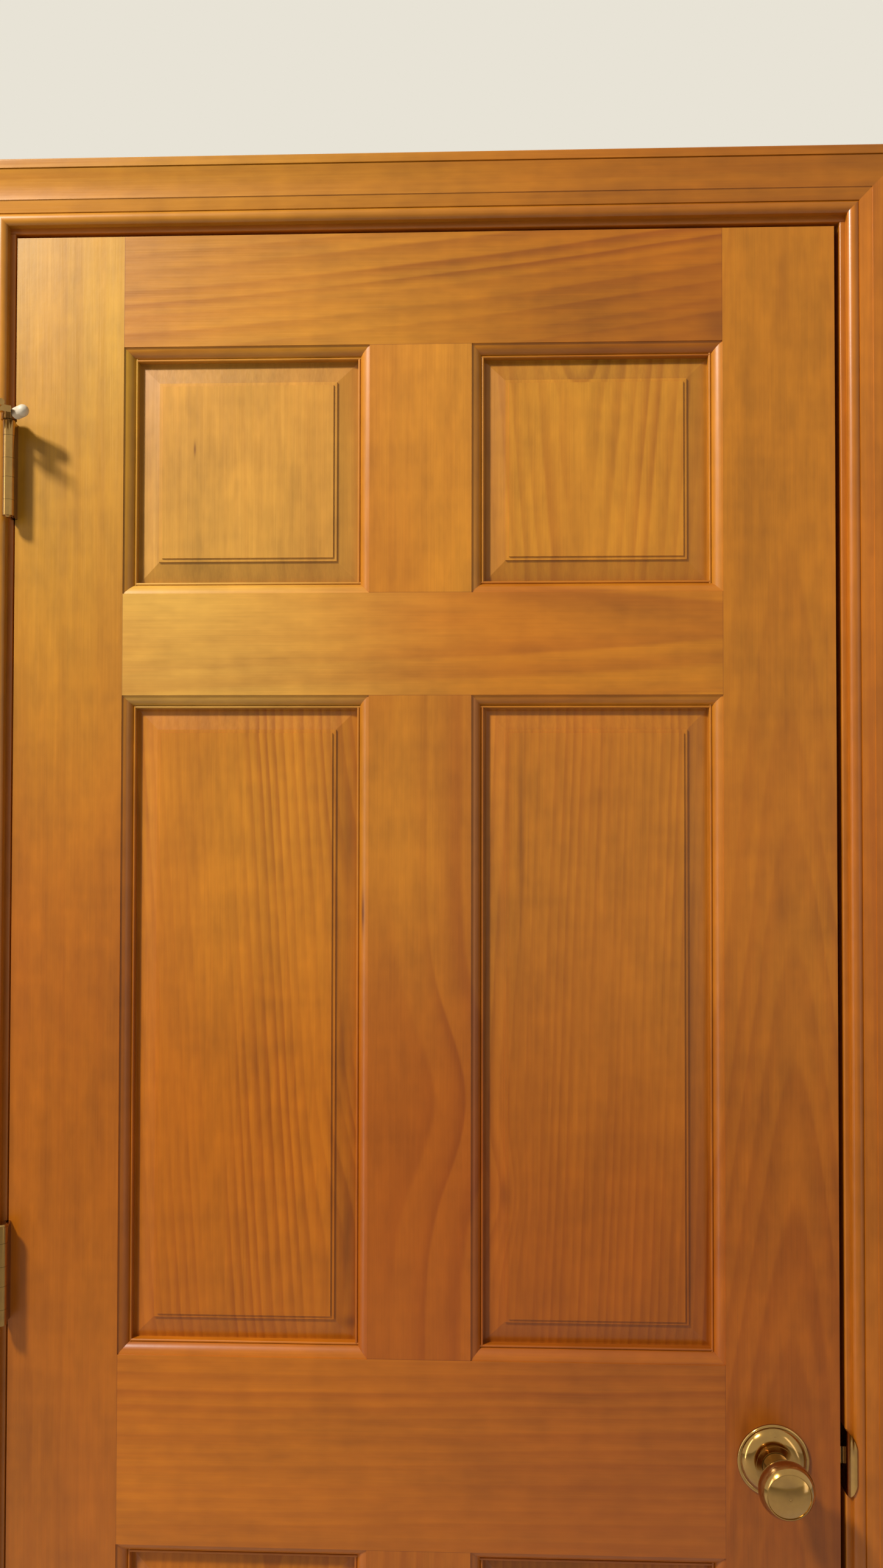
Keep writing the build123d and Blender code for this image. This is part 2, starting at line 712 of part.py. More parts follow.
def latch_case():
    """A tube behind the faceplate, a bulkhead for the spring, and two side plates that carry the hub."""
    tube = rod_between((lock_x(FACEPLATE_THICK), MID, LATCH_Z), (lock_x(CASE_TUBE_END), MID, LATCH_Z), CASE_RADIUS)
    hollow = rod_between(
        (lock_x(FACEPLATE_THICK + CASE_WALL), MID, LATCH_Z),
        (lock_x(CASE_TUBE_END), MID, LATCH_Z),
        CASE_RADIUS - CASE_WALL,
    )
    bulkhead = rod_between(
        (lock_x(CASE_BULKHEAD), MID, LATCH_Z),
        (lock_x(CASE_BULKHEAD + CASE_BULKHEAD_THICK), MID, LATCH_Z),
        CASE_RADIUS,
    )
    bulkhead -= rod_between((LEAF_RIGHT, MID, LATCH_Z), (KNOB_X, MID, LATCH_Z), STEM_RADIUS + STEM_CLEAR)
    case = tube - hollow + bulkhead
    overlap = 3.0
    for side in (-1, 1):
        outer = MID + side * CASE_HALF_WIDTH
        inner = outer - side * CASE_WALL
        case += block(
            lock_x(CASE_TUBE_END - overlap),
            lock_x(CASE_END),
            inner,
            outer,
            LATCH_Z - CASE_HALF_HEIGHT,
            LATCH_Z + CASE_HALF_HEIGHT,
        ) & rod_between((LEAF_RIGHT, MID, LATCH_Z), (lock_x(CASE_END), MID, LATCH_Z), EDGE_BORE_RADIUS)
    case += block(
        lock_x(CASE_END - CASE_WALL),
        lock_x(CASE_END),
        MID - CASE_HALF_WIDTH,
        MID + CASE_HALF_WIDTH,
        LATCH_Z - CASE_HALF_HEIGHT,
        LATCH_Z + CASE_HALF_HEIGHT,
    )
    case -= bolt_blank(LEAF_RIGHT, lock_x(FACEPLATE_THICK + 2 * CASE_WALL), BOLT_CLEAR)
    journal = HUB_RADIUS + HUB_CLEAR
    case -= rod_between((KNOB_X, FRONT, LATCH_Z), (KNOB_X, BACK, LATCH_Z), journal)
    return case


def latch_bolt():
    """The sprung bolt: a bevelled head, and a stem that the spring slides on."""
    tip = LEAF_RIGHT + BOLT_PROJECTION
    half_z = BOLT_HEIGHT / 2
    front, back = MID - BOLT_WIDTH / 2, MID + BOLT_WIDTH / 2
    bevel_end = LEAF_RIGHT + BOLT_CLEAR
    outline = [
        (lock_x(BOLT_REAR), front),
        (tip - BOLT_NOSE_ROUND, front),
        (tip, front + BOLT_NOSE_ROUND),
        (tip, front + BOLT_NOSE_ROUND + BOLT_NOSE),
        (bevel_end, back),
        (lock_x(BOLT_REAR), back),
    ]
    plane = Plane(origin=(0, 0, LATCH_Z - half_z), x_dir=(1, 0, 0), z_dir=(0, 0, 1))
    head = extrude(plane * face_of(outline), BOLT_HEIGHT)
    stem = rod_between((lock_x(BOLT_REAR), MID, LATCH_Z), (lock_x(SLIDE_FRONT), MID, LATCH_Z), STEM_RADIUS)
    return head + stem


def latch_slide():
    """The yoke behind the bolt: two side plates slotted for the hub, and the bars that its fingers push."""
    bar_front = BACKSET + FINGER_THICK / 2 + FINGER_GAP
    bar_back = bar_front + BAR_THICK
    slot_front = BACKSET - HUB_RADIUS - BOLT_THROW - FINGER_GAP
    slot_half = HUB_RADIUS + SLOT_CLEAR
    slide = block(
        lock_x(SLIDE_FRONT),
        lock_x(SLIDE_FRONT + SLIDE_BRIDGE),
        MID - SLIDE_HALF_WIDTH,
        MID + SLIDE_HALF_WIDTH,
        LATCH_Z - SLIDE_BRIDGE_HALF_HEIGHT,
        LATCH_Z + SLIDE_BRIDGE_HALF_HEIGHT,
    )
    for side in (-1, 1):
        outer = MID + side * SLIDE_HALF_WIDTH
        inner = outer - side * SLIDE_WALL
        slide += block(
            lock_x(SLIDE_FRONT),
            lock_x(slot_front),
            inner,
            outer,
            LATCH_Z - SLIDE_ARM_HALF_HEIGHT,
            LATCH_Z + SLIDE_ARM_HALF_HEIGHT,
        )
        for half in (-1, 1):
            slide += block(
                lock_x(CASE_TUBE_END + SLOT_CLEAR),
                lock_x(bar_back + SLIDE_TAIL),
                inner,
                outer,
                LATCH_Z + half * slot_half,
                LATCH_Z + half * SLIDE_HALF_HEIGHT,
            )
    for half in (-1, 1):
        slide += block(
            lock_x(bar_front),
            lock_x(bar_back),
            MID - SLIDE_HALF_WIDTH,
            MID + SLIDE_HALF_WIDTH,
            LATCH_Z + half * slot_half,
            LATCH_Z + half * SLIDE_HALF_HEIGHT,
        )
    return slide


def latch_hub():
    """The hub that the spindle turns, with a finger up and a finger down."""
    hub = rod_between(
        (KNOB_X, MID - CASE_HALF_WIDTH, LATCH_Z), (KNOB_X, MID + CASE_HALF_WIDTH, LATCH_Z), HUB_RADIUS
    )
    hub += block(
        KNOB_X - FINGER_THICK / 2,
        KNOB_X + FINGER_THICK / 2,
        MID - FINGER_WIDTH / 2,
        MID + FINGER_WIDTH / 2,
        LATCH_Z - FINGER_LENGTH,
        LATCH_Z + FINGER_LENGTH,
    )
    return hub - spindle()


def latch_spring():
    """A coil on the bolt's stem, between its head and the bulkhead."""
    length = CASE_BULKHEAD - BOLT_REAR - 2 * TOUCH_CLEAR - 2 * SPRING_WIRE
    pitch = length / SPRING_TURNS
    path = Helix(pitch, length, SPRING_RADIUS)
    start = path @ 0
    section = Plane(origin=start, z_dir=path % 0) * Circle(SPRING_WIRE)
    coil = sweep(section, path=path)
    place = Plane(
        origin=(lock_x(BOLT_REAR + TOUCH_CLEAR + SPRING_WIRE), MID, LATCH_Z), x_dir=(0, 0, 1), z_dir=(-1, 0, 0)
    )
    return place * coil


# Knobs

def spindle():
    """The square bar through both knobs and the hub."""
    half = SPINDLE_SIDE / 2
    return block(
        KNOB_X - half, KNOB_X + half, FRONT - SPINDLE_IN_KNOB, BACK + SPINDLE_IN_KNOB, LATCH_Z - half, LATCH_Z + half
    )


def knob_plane(on_front):
    """The plane of the leaf's face at the knob, looking out."""
    if on_front:
        return Plane(origin=(KNOB_X, FRONT, LATCH_Z), x_dir=(1, 0, 0), z_dir=(0, -1, 0))
    return Plane(origin=(KNOB_X, BACK, LATCH_Z), x_dir=(1, 0, 0), z_dir=(0, 1, 0))


def on_knob(angle):
    """A point of the knob's oval section, at an angle from its widest circle."""
    turn = math.radians(angle)
    return (KNOB_RADIUS * math.cos(turn), KNOB_CENTRE + KNOB_HALF_DEPTH * math.sin(turn))


def knob(on_front):
    """A turned knob: a shank inside the rose, a waisted neck and a flattened ball with a domed face."""
    neck_angle = -math.degrees(math.acos(KNOB_SHANK_RADIUS / KNOB_RADIUS))
    face_angle = math.degrees(math.acos(KNOB_FACE_RADIUS / KNOB_RADIUS))
    neck_start = ROSE_HEIGHT + ROSE_RIM
    neck_top = on_knob(neck_angle)
    neck_mid = (KNOB_NECK_RADIUS, (neck_start + neck_top[1]) / 2)
    face_edge = on_knob(face_angle)
    face_in = KNOB_FACE_RADIUS - KNOB_FACE_STEP
    face_base = face_edge[1] - KNOB_FACE_STEP
    face_top = face_edge[1] + KNOB_FACE_RISE
    rise = face_top - face_base
    dome_radius = (face_in**2 + rise**2) / (2 * rise)
    face_mid = (face_in / 2, face_top - dome_radius + math.sqrt(dome_radius**2 - face_in**2 / 4))
    groove_top = RING_START + RING_THICK
    shank_in = KNOB_SHANK_RADIUS - RING_GROOVE
    steps = [
        ((0, KNOB_SHANK_START),),
        ((KNOB_SHANK_RADIUS, KNOB_SHANK_START),),
        ((KNOB_SHANK_RADIUS, RING_START),),
        ((shank_in, RING_START),),
        ((shank_in, groove_top),),
        ((KNOB_SHANK_RADIUS, groove_top),),
        ((KNOB_SHANK_RADIUS, neck_start),),
        (neck_mid, neck_top),
        (on_knob(neck_angle / 2), on_knob(0)),
        (on_knob(face_angle / 2), face_edge),
        ((face_in, face_edge[1]),),
        ((face_in, face_base),),
        (face_mid, (0, face_top)),
    ]
    return turned(steps, knob_plane(on_front)) - spindle()


def retaining_ring(on_front):
    """The ring in the shank's groove that keeps the knob in its rose."""
    plane = knob_plane(on_front).offset(RING_START)
    ring = Circle(RING_RADIUS) - Circle(KNOB_SHANK_RADIUS - RING_GROOVE)
    return extrude(plane * ring, RING_THICK)


def rose_shell(on_front):
    """A spun rose: a rim on the leaf, a hollow dome and a crown round the knob's shank."""
    hole = KNOB_SHANK_RADIUS + KNOB_SHANK_CLEAR
    rim_in = ROSE_RADIUS - 3.0
    wall = ROSE_WALL
    steps = [
        ((rim_in - wall, 0),),
        ((ROSE_RADIUS, 0),),
        ((ROSE_RADIUS, ROSE_RIM),),
        ((ROSE_RADIUS - 1.4, ROSE_RIM + 1.1), (rim_in, ROSE_RIM + 0.9)),
        ((ROSE_CROWN_RADIUS + 7.0, ROSE_HEIGHT - 2.2), (ROSE_CROWN_RADIUS, ROSE_HEIGHT - 0.8)),
        ((ROSE_CROWN_RADIUS, ROSE_HEIGHT),),
        ((hole, ROSE_HEIGHT),),
        ((hole, ROSE_HEIGHT - 2 * wall),),
        ((ROSE_CROWN_RADIUS, ROSE_HEIGHT - 2 * wall),),
        ((ROSE_CROWN_RADIUS + 6.4, ROSE_HEIGHT - 2.2 - 1.5 * wall), (rim_in - wall, ROSE_RIM)),
    ]
    return turned(steps, knob_plane(on_front))


def post_spots():
    return [LATCH_Z + side * POST_SPACING / 2 for side in (-1, 1)]


def front_rose():
    """The front rose with its two threaded posts."""
    rose = rose_shell(True)
    top = FRONT - ROSE_HEIGHT + 2.4
    for z in post_spots():
        rose += rod_between((KNOB_X, top, z), (KNOB_X, FRONT + POST_DEPTH, z), POST_RADIUS)
    for z in post_spots():
        rose -= rod_between(
            (KNOB_X, FRONT + POST_DEPTH - ROSE_BOLT_BITE - DOWEL_END_CLEAR, z),
            (KNOB_X, FRONT + POST_DEPTH, z),
            ROSE_BOLT_RADIUS + SCREW_CLEAR,
        )
    return rose


def back_rose():
    """The back rose with two seats for the bolts' heads."""
    rose = rose_shell(False)
    seat = BACK + ROSE_BOLT_SEAT
    for z in post_spots():
        rose += rod_between((KNOB_X, BACK, z), (KNOB_X, seat, z), POST_RADIUS + ROSE_WALL)
    for z in post_spots():
        rose -= rod_between((KNOB_X, seat, z), (KNOB_X, seat + ROSE_HEIGHT, z), ROSE_BOLT_HEAD_RADIUS + SCREW_CLEAR)
        rose -= rod_between((KNOB_X, BACK, z), (KNOB_X, seat, z), ROSE_BOLT_RADIUS + SCREW_CLEAR)
    return rose


def rose_bolts():
    """Two bolts from the back rose into the front rose's posts."""
    bolts = []
    seat = BACK + ROSE_BOLT_SEAT
    for z in post_spots():
        head = rod_between((KNOB_X, seat, z), (KNOB_X, seat + ROSE_BOLT_HEAD_HEIGHT, z), ROSE_BOLT_HEAD_RADIUS)
        end_y = FRONT + POST_DEPTH - ROSE_BOLT_BITE
        bolts.append(head + rod_between((KNOB_X, end_y, z), (KNOB_X, seat, z), ROSE_BOLT_RADIUS))
    return bolts


# Hinge-pin door stop

def polar(angle, radius):
    """X and Y of a point round the pin, at an angle from +X."""
    turn = math.radians(angle)
    return PIN_X + radius * math.cos(turn), PIN_Y + radius * math.sin(turn)


# The bumper meets the open leaf at this angle from it, and the pad meets the casing at the same time
BUMPER_MEET = math.degrees(math.asin((PIN_OFFSET - BUMPER_RADIUS - TOUCH_CLEAR) / BUMPER_REACH))
STOP_TURN = BUMPER_ANGLE - (BUMPER_MEET - OPEN_LIMIT)
HUB_BOTTOM = TOP_HINGE_Z + HINGE_HEIGHT / 2 + TOUCH_CLEAR
HUB_TOP = HUB_BOTTOM + STOP_HUB_HEIGHT
HUB_MID = (HUB_BOTTOM + HUB_TOP) / 2


def stop_point(open_x, open_y):
    """A point of the stop at rest, from its place round the pin when the door is fully open."""
    turn = math.radians(STOP_TURN)
    x = open_x * math.cos(turn) - open_y * math.sin(turn)
    y = open_x * math.sin(turn) + open_y * math.cos(turn)
    return (PIN_X + x, PIN_Y + y, HUB_MID)


def flat_bar(start, end, width, past):
    """An arm of the bracket between two points at the height of its hub, and a little past the second one."""
    start, end = Vector(*start), Vector(*end)
    run = end - start
    plane = Plane(origin=start, x_dir=(0, 0, 1), z_dir=run)
    return extrude(plane * Rectangle(STOP_HUB_HEIGHT, width), run.length + past)


def rod_point(forward):
    """A point on the setting rod's line, by how far it lies in front of the pin when fully open."""
    return stop_point(-ROD_OFFSET, -forward)


def stop_bracket():
    """The cast collar on the hinge pin, with an arm to the bumper and an arm to the setting rod."""
    hub = rod_between((PIN_X, PIN_Y, HUB_BOTTOM), (PIN_X, PIN_Y, HUB_TOP), STOP_HUB_RADIUS)
    pin = (PIN_X, PIN_Y, HUB_MID)
    tip = (*polar(BUMPER_ANGLE, BUMPER_BACK), HUB_MID)
    elbow = stop_point(-ROD_ARM_ELBOW, -ROD_BOSS_FORWARD)
    bracket = hub + flat_bar(pin, tip, ARM_WIDTH, 0)
    bracket += flat_bar(pin, elbow, ROD_ARM_WIDTH, ROD_ARM_WIDTH / 2)
    bracket += flat_bar(elbow, rod_point(ROD_BOSS_FORWARD), ROD_ARM_WIDTH, 0)
    half = ROD_BOSS_LENGTH / 2
    bracket += rod_between(rod_point(ROD_BOSS_FORWARD + half), rod_point(ROD_BOSS_FORWARD - half), ROD_BOSS_RADIUS)
    bracket -= rod_between(
        rod_point(ROD_BOSS_FORWARD + ROD_BOSS_LENGTH),
        rod_point(ROD_BOSS_FORWARD - ROD_BOSS_LENGTH),
        ROD_RADIUS + ROD_CLEAR,
    )
    bracket -= rod_between(
        (PIN_X, PIN_Y, HUB_BOTTOM - STOP_HUB_HEIGHT),
        (PIN_X, PIN_Y, HUB_TOP + STOP_HUB_HEIGHT),
        HINGE_PIN_RADIUS + PIN_CLEAR,
    )
    socket_end = (*polar(BUMPER_ANGLE, BUMPER_BACK - BUMPER_STEM), HUB_MID)
    return bracket - rod_between(socket_end, tip, BUMPER_STEM_RADIUS)


def stop_bumper():
    """The rubber bumper on its arm: a round body with a ball end and a stem in the arm."""
    back = (*polar(BUMPER_ANGLE, BUMPER_BACK), HUB_MID)
    steps = [
        ((0, -BUMPER_STEM),),
        ((BUMPER_STEM_RADIUS, -BUMPER_STEM),),
        ((BUMPER_STEM_RADIUS, 0),),
        ((BUMPER_RADIUS, 0),),
        ((BUMPER_RADIUS, BUMPER_REACH - BUMPER_BACK),),
        (
            (
                BUMPER_RADIUS * math.sqrt(0.5),
                BUMPER_REACH - BUMPER_BACK + BUMPER_RADIUS * math.sqrt(0.5),
            ),
            (0, BUMPER_REACH - BUMPER_BACK + BUMPER_RADIUS),
        ),
    ]
    turn = math.radians(BUMPER_ANGLE)
    plane = Plane(origin=back, x_dir=(0, 0, 1), z_dir=(math.cos(turn), math.sin(turn), 0))
    return turned(steps, plane)


# How far the pad's face lies behind the pin's line when it meets the casing
PAD_FACE = PIN_OFFSET - PAD_SEAT_HEIGHT - TOUCH_CLEAR


def stop_rod():
    """The setting rod, from the pad to its slotted tail."""
    start = rod_point(-(PAD_FACE - PAD_THICK / 2))
    end = rod_point(ROD_BOSS_FORWARD + ROD_TAIL)
    return rod_between(start, end, ROD_RADIUS)


def stop_pad():
    """The rubber pad on the rod's end."""
    face = rod_point(-PAD_FACE)
    back = rod_point(-(PAD_FACE - PAD_THICK))
    middle = rod_point(-(PAD_FACE - PAD_THICK / 2))
    pad = rod_between(back, face, PAD_RADIUS)
    return pad - rod_between(back, middle, ROD_RADIUS)


# Assembly

def build_leaf():
    nodes = {}
    hinge_stile = upright(LEAF_LEFT, HINGE_STILE_ARRIS, LEAF_BOTTOM, LEAF_TOP, False, True)
    lock_stile = upright(LOCK_STILE_ARRIS, LEAF_RIGHT, LEAF_BOTTOM, LEAF_TOP, True, False)
    rails = {
        "top_rail": (TOP_RAIL_ARRIS, LEAF_TOP, True, False),
        "frieze_rail": (FRIEZE_LOWER, FRIEZE_UPPER, True, True),
        "lock_rail": (LOCK_LOWER, LOCK_UPPER, True, True),
        "bottom_rail": (LEAF_BOTTOM, BOTTOM_RAIL_ARRIS, False, True),
    }
    for name, (bottom, top, mould_bottom, mould_top) in rails.items():
        rail = crosswise(HINGE_STILE_ARRIS, LOCK_STILE_ARRIS, bottom, top, mould_bottom, mould_top)
        nodes[name] = coped(rail, hinge_stile, lock_stile)
    rows = {
        "top": (FRIEZE_UPPER, TOP_RAIL_ARRIS, "frieze_rail", "top_rail"),
        "middle": (LOCK_UPPER, FRIEZE_LOWER, "lock_rail", "frieze_rail"),
        "bottom": (BOTTOM_RAIL_ARRIS, LOCK_LOWER, "bottom_rail", "lock_rail"),
    }
    for row, (bottom, top, under, over) in rows.items():
        mullion = upright(MULLION_LEFT, MULLION_RIGHT, bottom, top, True, True)
        nodes[row + "_mullion"] = coped(mullion, nodes[under], nodes[over])
        nodes[row + "_left_panel"] = raised_panel(HINGE_STILE_ARRIS, MULLION_LEFT, bottom, top)
        nodes[row + "_right_panel"] = raised_panel(MULLION_RIGHT, LOCK_STILE_ARRIS, bottom, top)

    rail_dowels = []
    for name, (bottom, top, _, _) in rails.items():
        for z in rail_dowel_spots(bottom, top):
            for x in (HINGE_STILE_ARRIS, LOCK_STILE_ARRIS):
                rail_dowels.append(dowel_along_x(x, z, RAIL_DOWEL_LENGTH, RAIL_DOWEL_RADIUS))
                hole = dowel_along_x(
                    x, z, RAIL_DOWEL_LENGTH + 2 * DOWEL_END_CLEAR, RAIL_DOWEL_RADIUS + DOWEL_CLEAR
                )
                nodes[name] -= hole
                if x == HINGE_STILE_ARRIS:
                    hinge_stile -= hole
                else:
                    lock_stile -= hole
    mullion_dowels = []
    for row, (bottom, top, under, over) in rows.items():
        for z, rail in ((bottom, under), (top, over)):
            for side in (-1, 1):
                x = LEAF_CENTRE + side * MULLION_DOWEL_SPACING / 2
                mullion_dowels.append(dowel_along_z(x, z, MULLION_DOWEL_LENGTH, MULLION_DOWEL_RADIUS))
                hole = dowel_along_z(
                    x, z, MULLION_DOWEL_LENGTH + 2 * DOWEL_END_CLEAR, MULLION_DOWEL_RADIUS + DOWEL_CLEAR
                )
                nodes[rail] -= hole
                nodes[row + "_mullion"] -= hole

    for centre_z in HINGES.values():
        hinge_stile -= leaf_plate(
            LEAF_LEFT - HINGE_LEAF_THICK, LEAF_LEFT + HINGE_LEAF_THICK, FRONT - HINGE_HALF_WIDTH, centre_z, MORTISE_CLEAR
        )
        for point, direction in hinge_screw_spots(1, centre_z):
            hinge_stile -= screw(point, direction, DOOR_SCREW_LENGTH, SCREW_CLEAR)
    lock_stile -= latch_faceplate(MORTISE_CLEAR)
    lock_stile -= rod_between((LEAF_RIGHT, MID, LATCH_Z), (KNOB_X, MID, LATCH_Z), EDGE_BORE_RADIUS)
    lock_stile -= rod_between((KNOB_X, FRONT, LATCH_Z), (KNOB_X, BACK, LATCH_Z), CROSS_BORE_RADIUS)
    for point, direction in latch_screw_spots():
        lock_stile -= screw(point, direction, LATCH_SCREW_LENGTH, SCREW_CLEAR)
    nodes["hinge_stile"] = hinge_stile
    nodes["lock_stile"] = lock_stile
    nodes["rail_dowels"] = Compound(children=rail_dowels)
    nodes["mullion_dowels"] = Compound(children=mullion_dowels)
    return nodes


def build_frame():
    nodes = {}
    hinge_jamb = side_jamb(HINGE_JAMB_X, -1)
    strike_jamb = side_jamb(STRIKE_JAMB_X, 1)
    for centre_z in HINGES.values():
        hinge_jamb -= leaf_plate(
            HINGE_JAMB_X - HINGE_LEAF_THICK,
            HINGE_JAMB_X + HINGE_LEAF_THICK,
            FRONT - HINGE_HALF_WIDTH,
            centre_z,
            MORTISE_CLEAR,
        )
        for point, direction in hinge_screw_spots(-1, centre_z):
            hinge_jamb -= screw(point, direction, FRAME_SCREW_LENGTH, SCREW_CLEAR)
    strike_jamb -= strike_mortise()
    strike_jamb -= strike_hole(STRIKE_POCKET, TOUCH_CLEAR)
    for point, direction in strike_screw_spots():
        strike_jamb -= screw(point, direction, FRAME_SCREW_LENGTH, SCREW_CLEAR)
    nodes["hinge_jamb"] = hinge_jamb
    nodes["strike_jamb"] = strike_jamb
    nodes["head_jamb"] = eased_board(
        HINGE_JAMB_X - RABBET_DEPTH,
        STRIKE_JAMB_X + RABBET_DEPTH,
        OPENING_TOP,
        OPENING_TOP + JAMB_THICK,
        Axis.X,
        lambda edge: edge.center().Z < OPENING_TOP + JAMB_THICK / 4,
    )
    names = ("hinge_side_stop", "strike_side_stop", "head_stop")
    nodes.update(zip(names, build_stops()))
    for wall_side, face_y, forward in (("front", FRONT, -1), ("back", WALL_BACK, 1)):
        names = [wall_side + "_casing_" + place for place in ("left", "right", "head")]
        nodes.update(zip(names, casing_set(face_y, forward)))
    nodes["strike_plate"] = strike_plate()
    screws = [screw(point, way, FRAME_SCREW_LENGTH) for point, way in strike_screw_spots()]
    nodes["strike_screws"] = Compound(children=screws)
    return nodes


def build_hinges():
    nodes = {}
    frame_screws = []
    door_screws = []
    for place, centre_z in HINGES.items():
        lift = STOP_HUB_HEIGHT + 2 * TOUCH_CLEAR if place == "top" else 0
        nodes[place + "_hinge_frame_leaf"] = hinge_leaf(-1, centre_z, (0, 2, 4))
        nodes[place + "_hinge_door_leaf"] = hinge_leaf(1, centre_z, (1, 3))
        nodes[place + "_hinge_pin"] = hinge_pin(centre_z, lift)
        frame_screws += [screw(point, way, FRAME_SCREW_LENGTH) for point, way in hinge_screw_spots(-1, centre_z)]
        door_screws += [screw(point, way, DOOR_SCREW_LENGTH) for point, way in hinge_screw_spots(1, centre_z)]
    nodes["hinge_frame_screws"] = Compound(children=frame_screws)
    nodes["hinge_door_screws"] = Compound(children=door_screws)
    return nodes


def build_lock():
    faceplate = latch_faceplate() - bolt_blank(LEAF_RIGHT, lock_x(FACEPLATE_THICK), BOLT_CLEAR)
    for point, direction in latch_screw_spots():
        faceplate -= screw(point, direction, LATCH_SCREW_LENGTH, SCREW_CLEAR)
    screws = [screw(point, way, LATCH_SCREW_LENGTH) for point, way in latch_screw_spots()]
    return {
        "latch_case": latch_case(),
        "latch_faceplate": faceplate,
        "latch_screws": Compound(children=screws),
        "latch_bolt": latch_bolt(),
        "latch_slide": latch_slide(),
        "latch_spring": latch_spring(),
        "latch_hub": latch_hub(),
        "knob_spindle": spindle(),
        "front_knob": knob(True),
        "back_knob": knob(False),
        "knob_rings": Compound(children=[retaining_ring(True), retaining_ring(False)]),
        "front_rose": front_rose(),
        "back_rose": back_rose(),
        "rose_bolts": Compound(children=rose_bolts()),
    }


def build_door_stop():
    return {
        "stop_bracket": stop_bracket(),
        "stop_bumper": stop_bumper(),
        "stop_rod": stop_rod(),
        "stop_pad": stop_pad(),
    }


os.makedirs("parts", exist_ok=True)
for make in (build_leaf, build_frame, build_hinges, build_lock, build_door_stop):
    for node, shape in make().items():
        export_step(shape, "parts/" + node + ".step")
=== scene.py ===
import json
import math
from collections import namedtuple

import bpy
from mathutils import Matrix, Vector


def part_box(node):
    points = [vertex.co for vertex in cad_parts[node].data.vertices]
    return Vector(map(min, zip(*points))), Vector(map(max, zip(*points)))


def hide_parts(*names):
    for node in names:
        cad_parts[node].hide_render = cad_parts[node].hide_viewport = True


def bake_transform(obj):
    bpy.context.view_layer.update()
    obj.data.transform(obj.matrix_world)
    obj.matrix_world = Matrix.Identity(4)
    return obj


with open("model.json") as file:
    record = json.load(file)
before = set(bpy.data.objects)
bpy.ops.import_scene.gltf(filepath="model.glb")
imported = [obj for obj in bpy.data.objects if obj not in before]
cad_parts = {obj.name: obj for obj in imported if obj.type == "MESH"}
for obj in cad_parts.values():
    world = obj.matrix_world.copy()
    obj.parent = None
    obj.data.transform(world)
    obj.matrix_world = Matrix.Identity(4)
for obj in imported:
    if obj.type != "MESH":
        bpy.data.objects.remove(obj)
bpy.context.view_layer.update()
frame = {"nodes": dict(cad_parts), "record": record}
nodes = frame["nodes"]


# Node trees

class Graph:
    """A node tree that is being wired. Each call adds what it is named after and gives back its output."""

    # The mix node has sockets for several kinds of data, so those for colours go by their places
    MIX_FACTOR, MIX_FIRST, MIX_SECOND, MIX_RESULT = 0, 6, 7, 2

    def __init__(self, tree):
        self.tree = tree

    def put(self, socket, value):
        """Link another node's output to a socket, or set the socket to a plain value."""
        if isinstance(value, bpy.types.NodeSocket):
            self.tree.links.new(value, socket)
        else:
            socket.default_value = value

    def add(self, kind, inputs=(), out=0, **settings):
        """A node with its inputs in order or by name."""
        node = self.tree.nodes.new(kind)
        for name, value in settings.items():
            setattr(node, name, value)
        pairs = inputs.items() if isinstance(inputs, dict) else enumerate(inputs)
        for key, value in pairs:
            self.put(node.inputs[key], value)
        return node.outputs[out]

    def math(self, operation, *inputs):
        return self.add("ShaderNodeMath", inputs, operation=operation)

    def plus(self, first, second):
        return self.math("ADD", first, second)

    def minus(self, first, second):
        return self.math("SUBTRACT", first, second)

    def times(self, first, second):
        return self.math("MULTIPLY", first, second)

    def times_plus(self, first, second, third):
        """The first times the second, plus the third."""
        return self.math("MULTIPLY_ADD", first, second, third)

    def lesser(self, first, second):
        return self.math("MINIMUM", first, second)

    def vector(self, x, y, z):
        return self.add("ShaderNodeCombineXYZ", (x, y, z))

    def split(self, vector):
        """The three numbers of a vector."""
        node = self.tree.nodes.new("ShaderNodeSeparateXYZ")
        self.put(node.inputs["Vector"], vector)
        return tuple(node.outputs)

    def place(self):
        """The point on the surface, in metres in the part's own frame."""
        return self.add("ShaderNodeTexCoord", out="Object")

    def noise(self, vector, scale=1.0, detail=2.0, roughness=0.5):
        """Noise from 0 to 1, with so many features for each unit of the vector."""
        inputs = {"Vector": vector, "Scale": scale, "Detail": detail, "Roughness": roughness}
        return self.add("ShaderNodeTexNoise", inputs)

    def swing(self, value, amount):
        """Noise from 0 to 1 turned into plus or minus half the amount."""
        return self.times(self.minus(value, 0.5), amount)

    def ramp(self, value, low, high, start=0.0, end=1.0, smooth=True):
        """From start to end as the value goes from low to high, and level beyond them."""
        kind = "SMOOTHSTEP" if smooth else "LINEAR"
        inputs = {"Value": value, "From Min": low, "From Max": high, "To Min": start, "To Max": end}
        return self.add("ShaderNodeMapRange", inputs, interpolation_type=kind)

    def mix(self, factor, first, second, blend="MIX"):
        """Two colours, mixed or multiplied."""
        node = self.tree.nodes.new("ShaderNodeMix")
        node.data_type = "RGBA"
        node.blend_type = blend
        self.put(node.inputs[self.MIX_FACTOR], factor)
        self.put(node.inputs[self.MIX_FIRST], first)
        self.put(node.inputs[self.MIX_SECOND], second)
        return node.outputs[self.MIX_RESULT]


def linear(red, green, blue):
    """A colour written as a screen shows it, 0 to 255, turned into a shader's linear numbers."""
    parts = [value / 255 for value in (red, green, blue)]
    return [part / 12.92 if part <= 0.04045 else ((part + 0.055) / 1.055) ** 2.4 for part in parts] + [1.0]


def new_material(name):
    """A material with one shader, and the graph to wire into it."""
    material = bpy.data.materials.new(name)
    material.use_nodes = True
    tree = material.node_tree
    return material, Graph(tree), tree.nodes["Principled BSDF"]


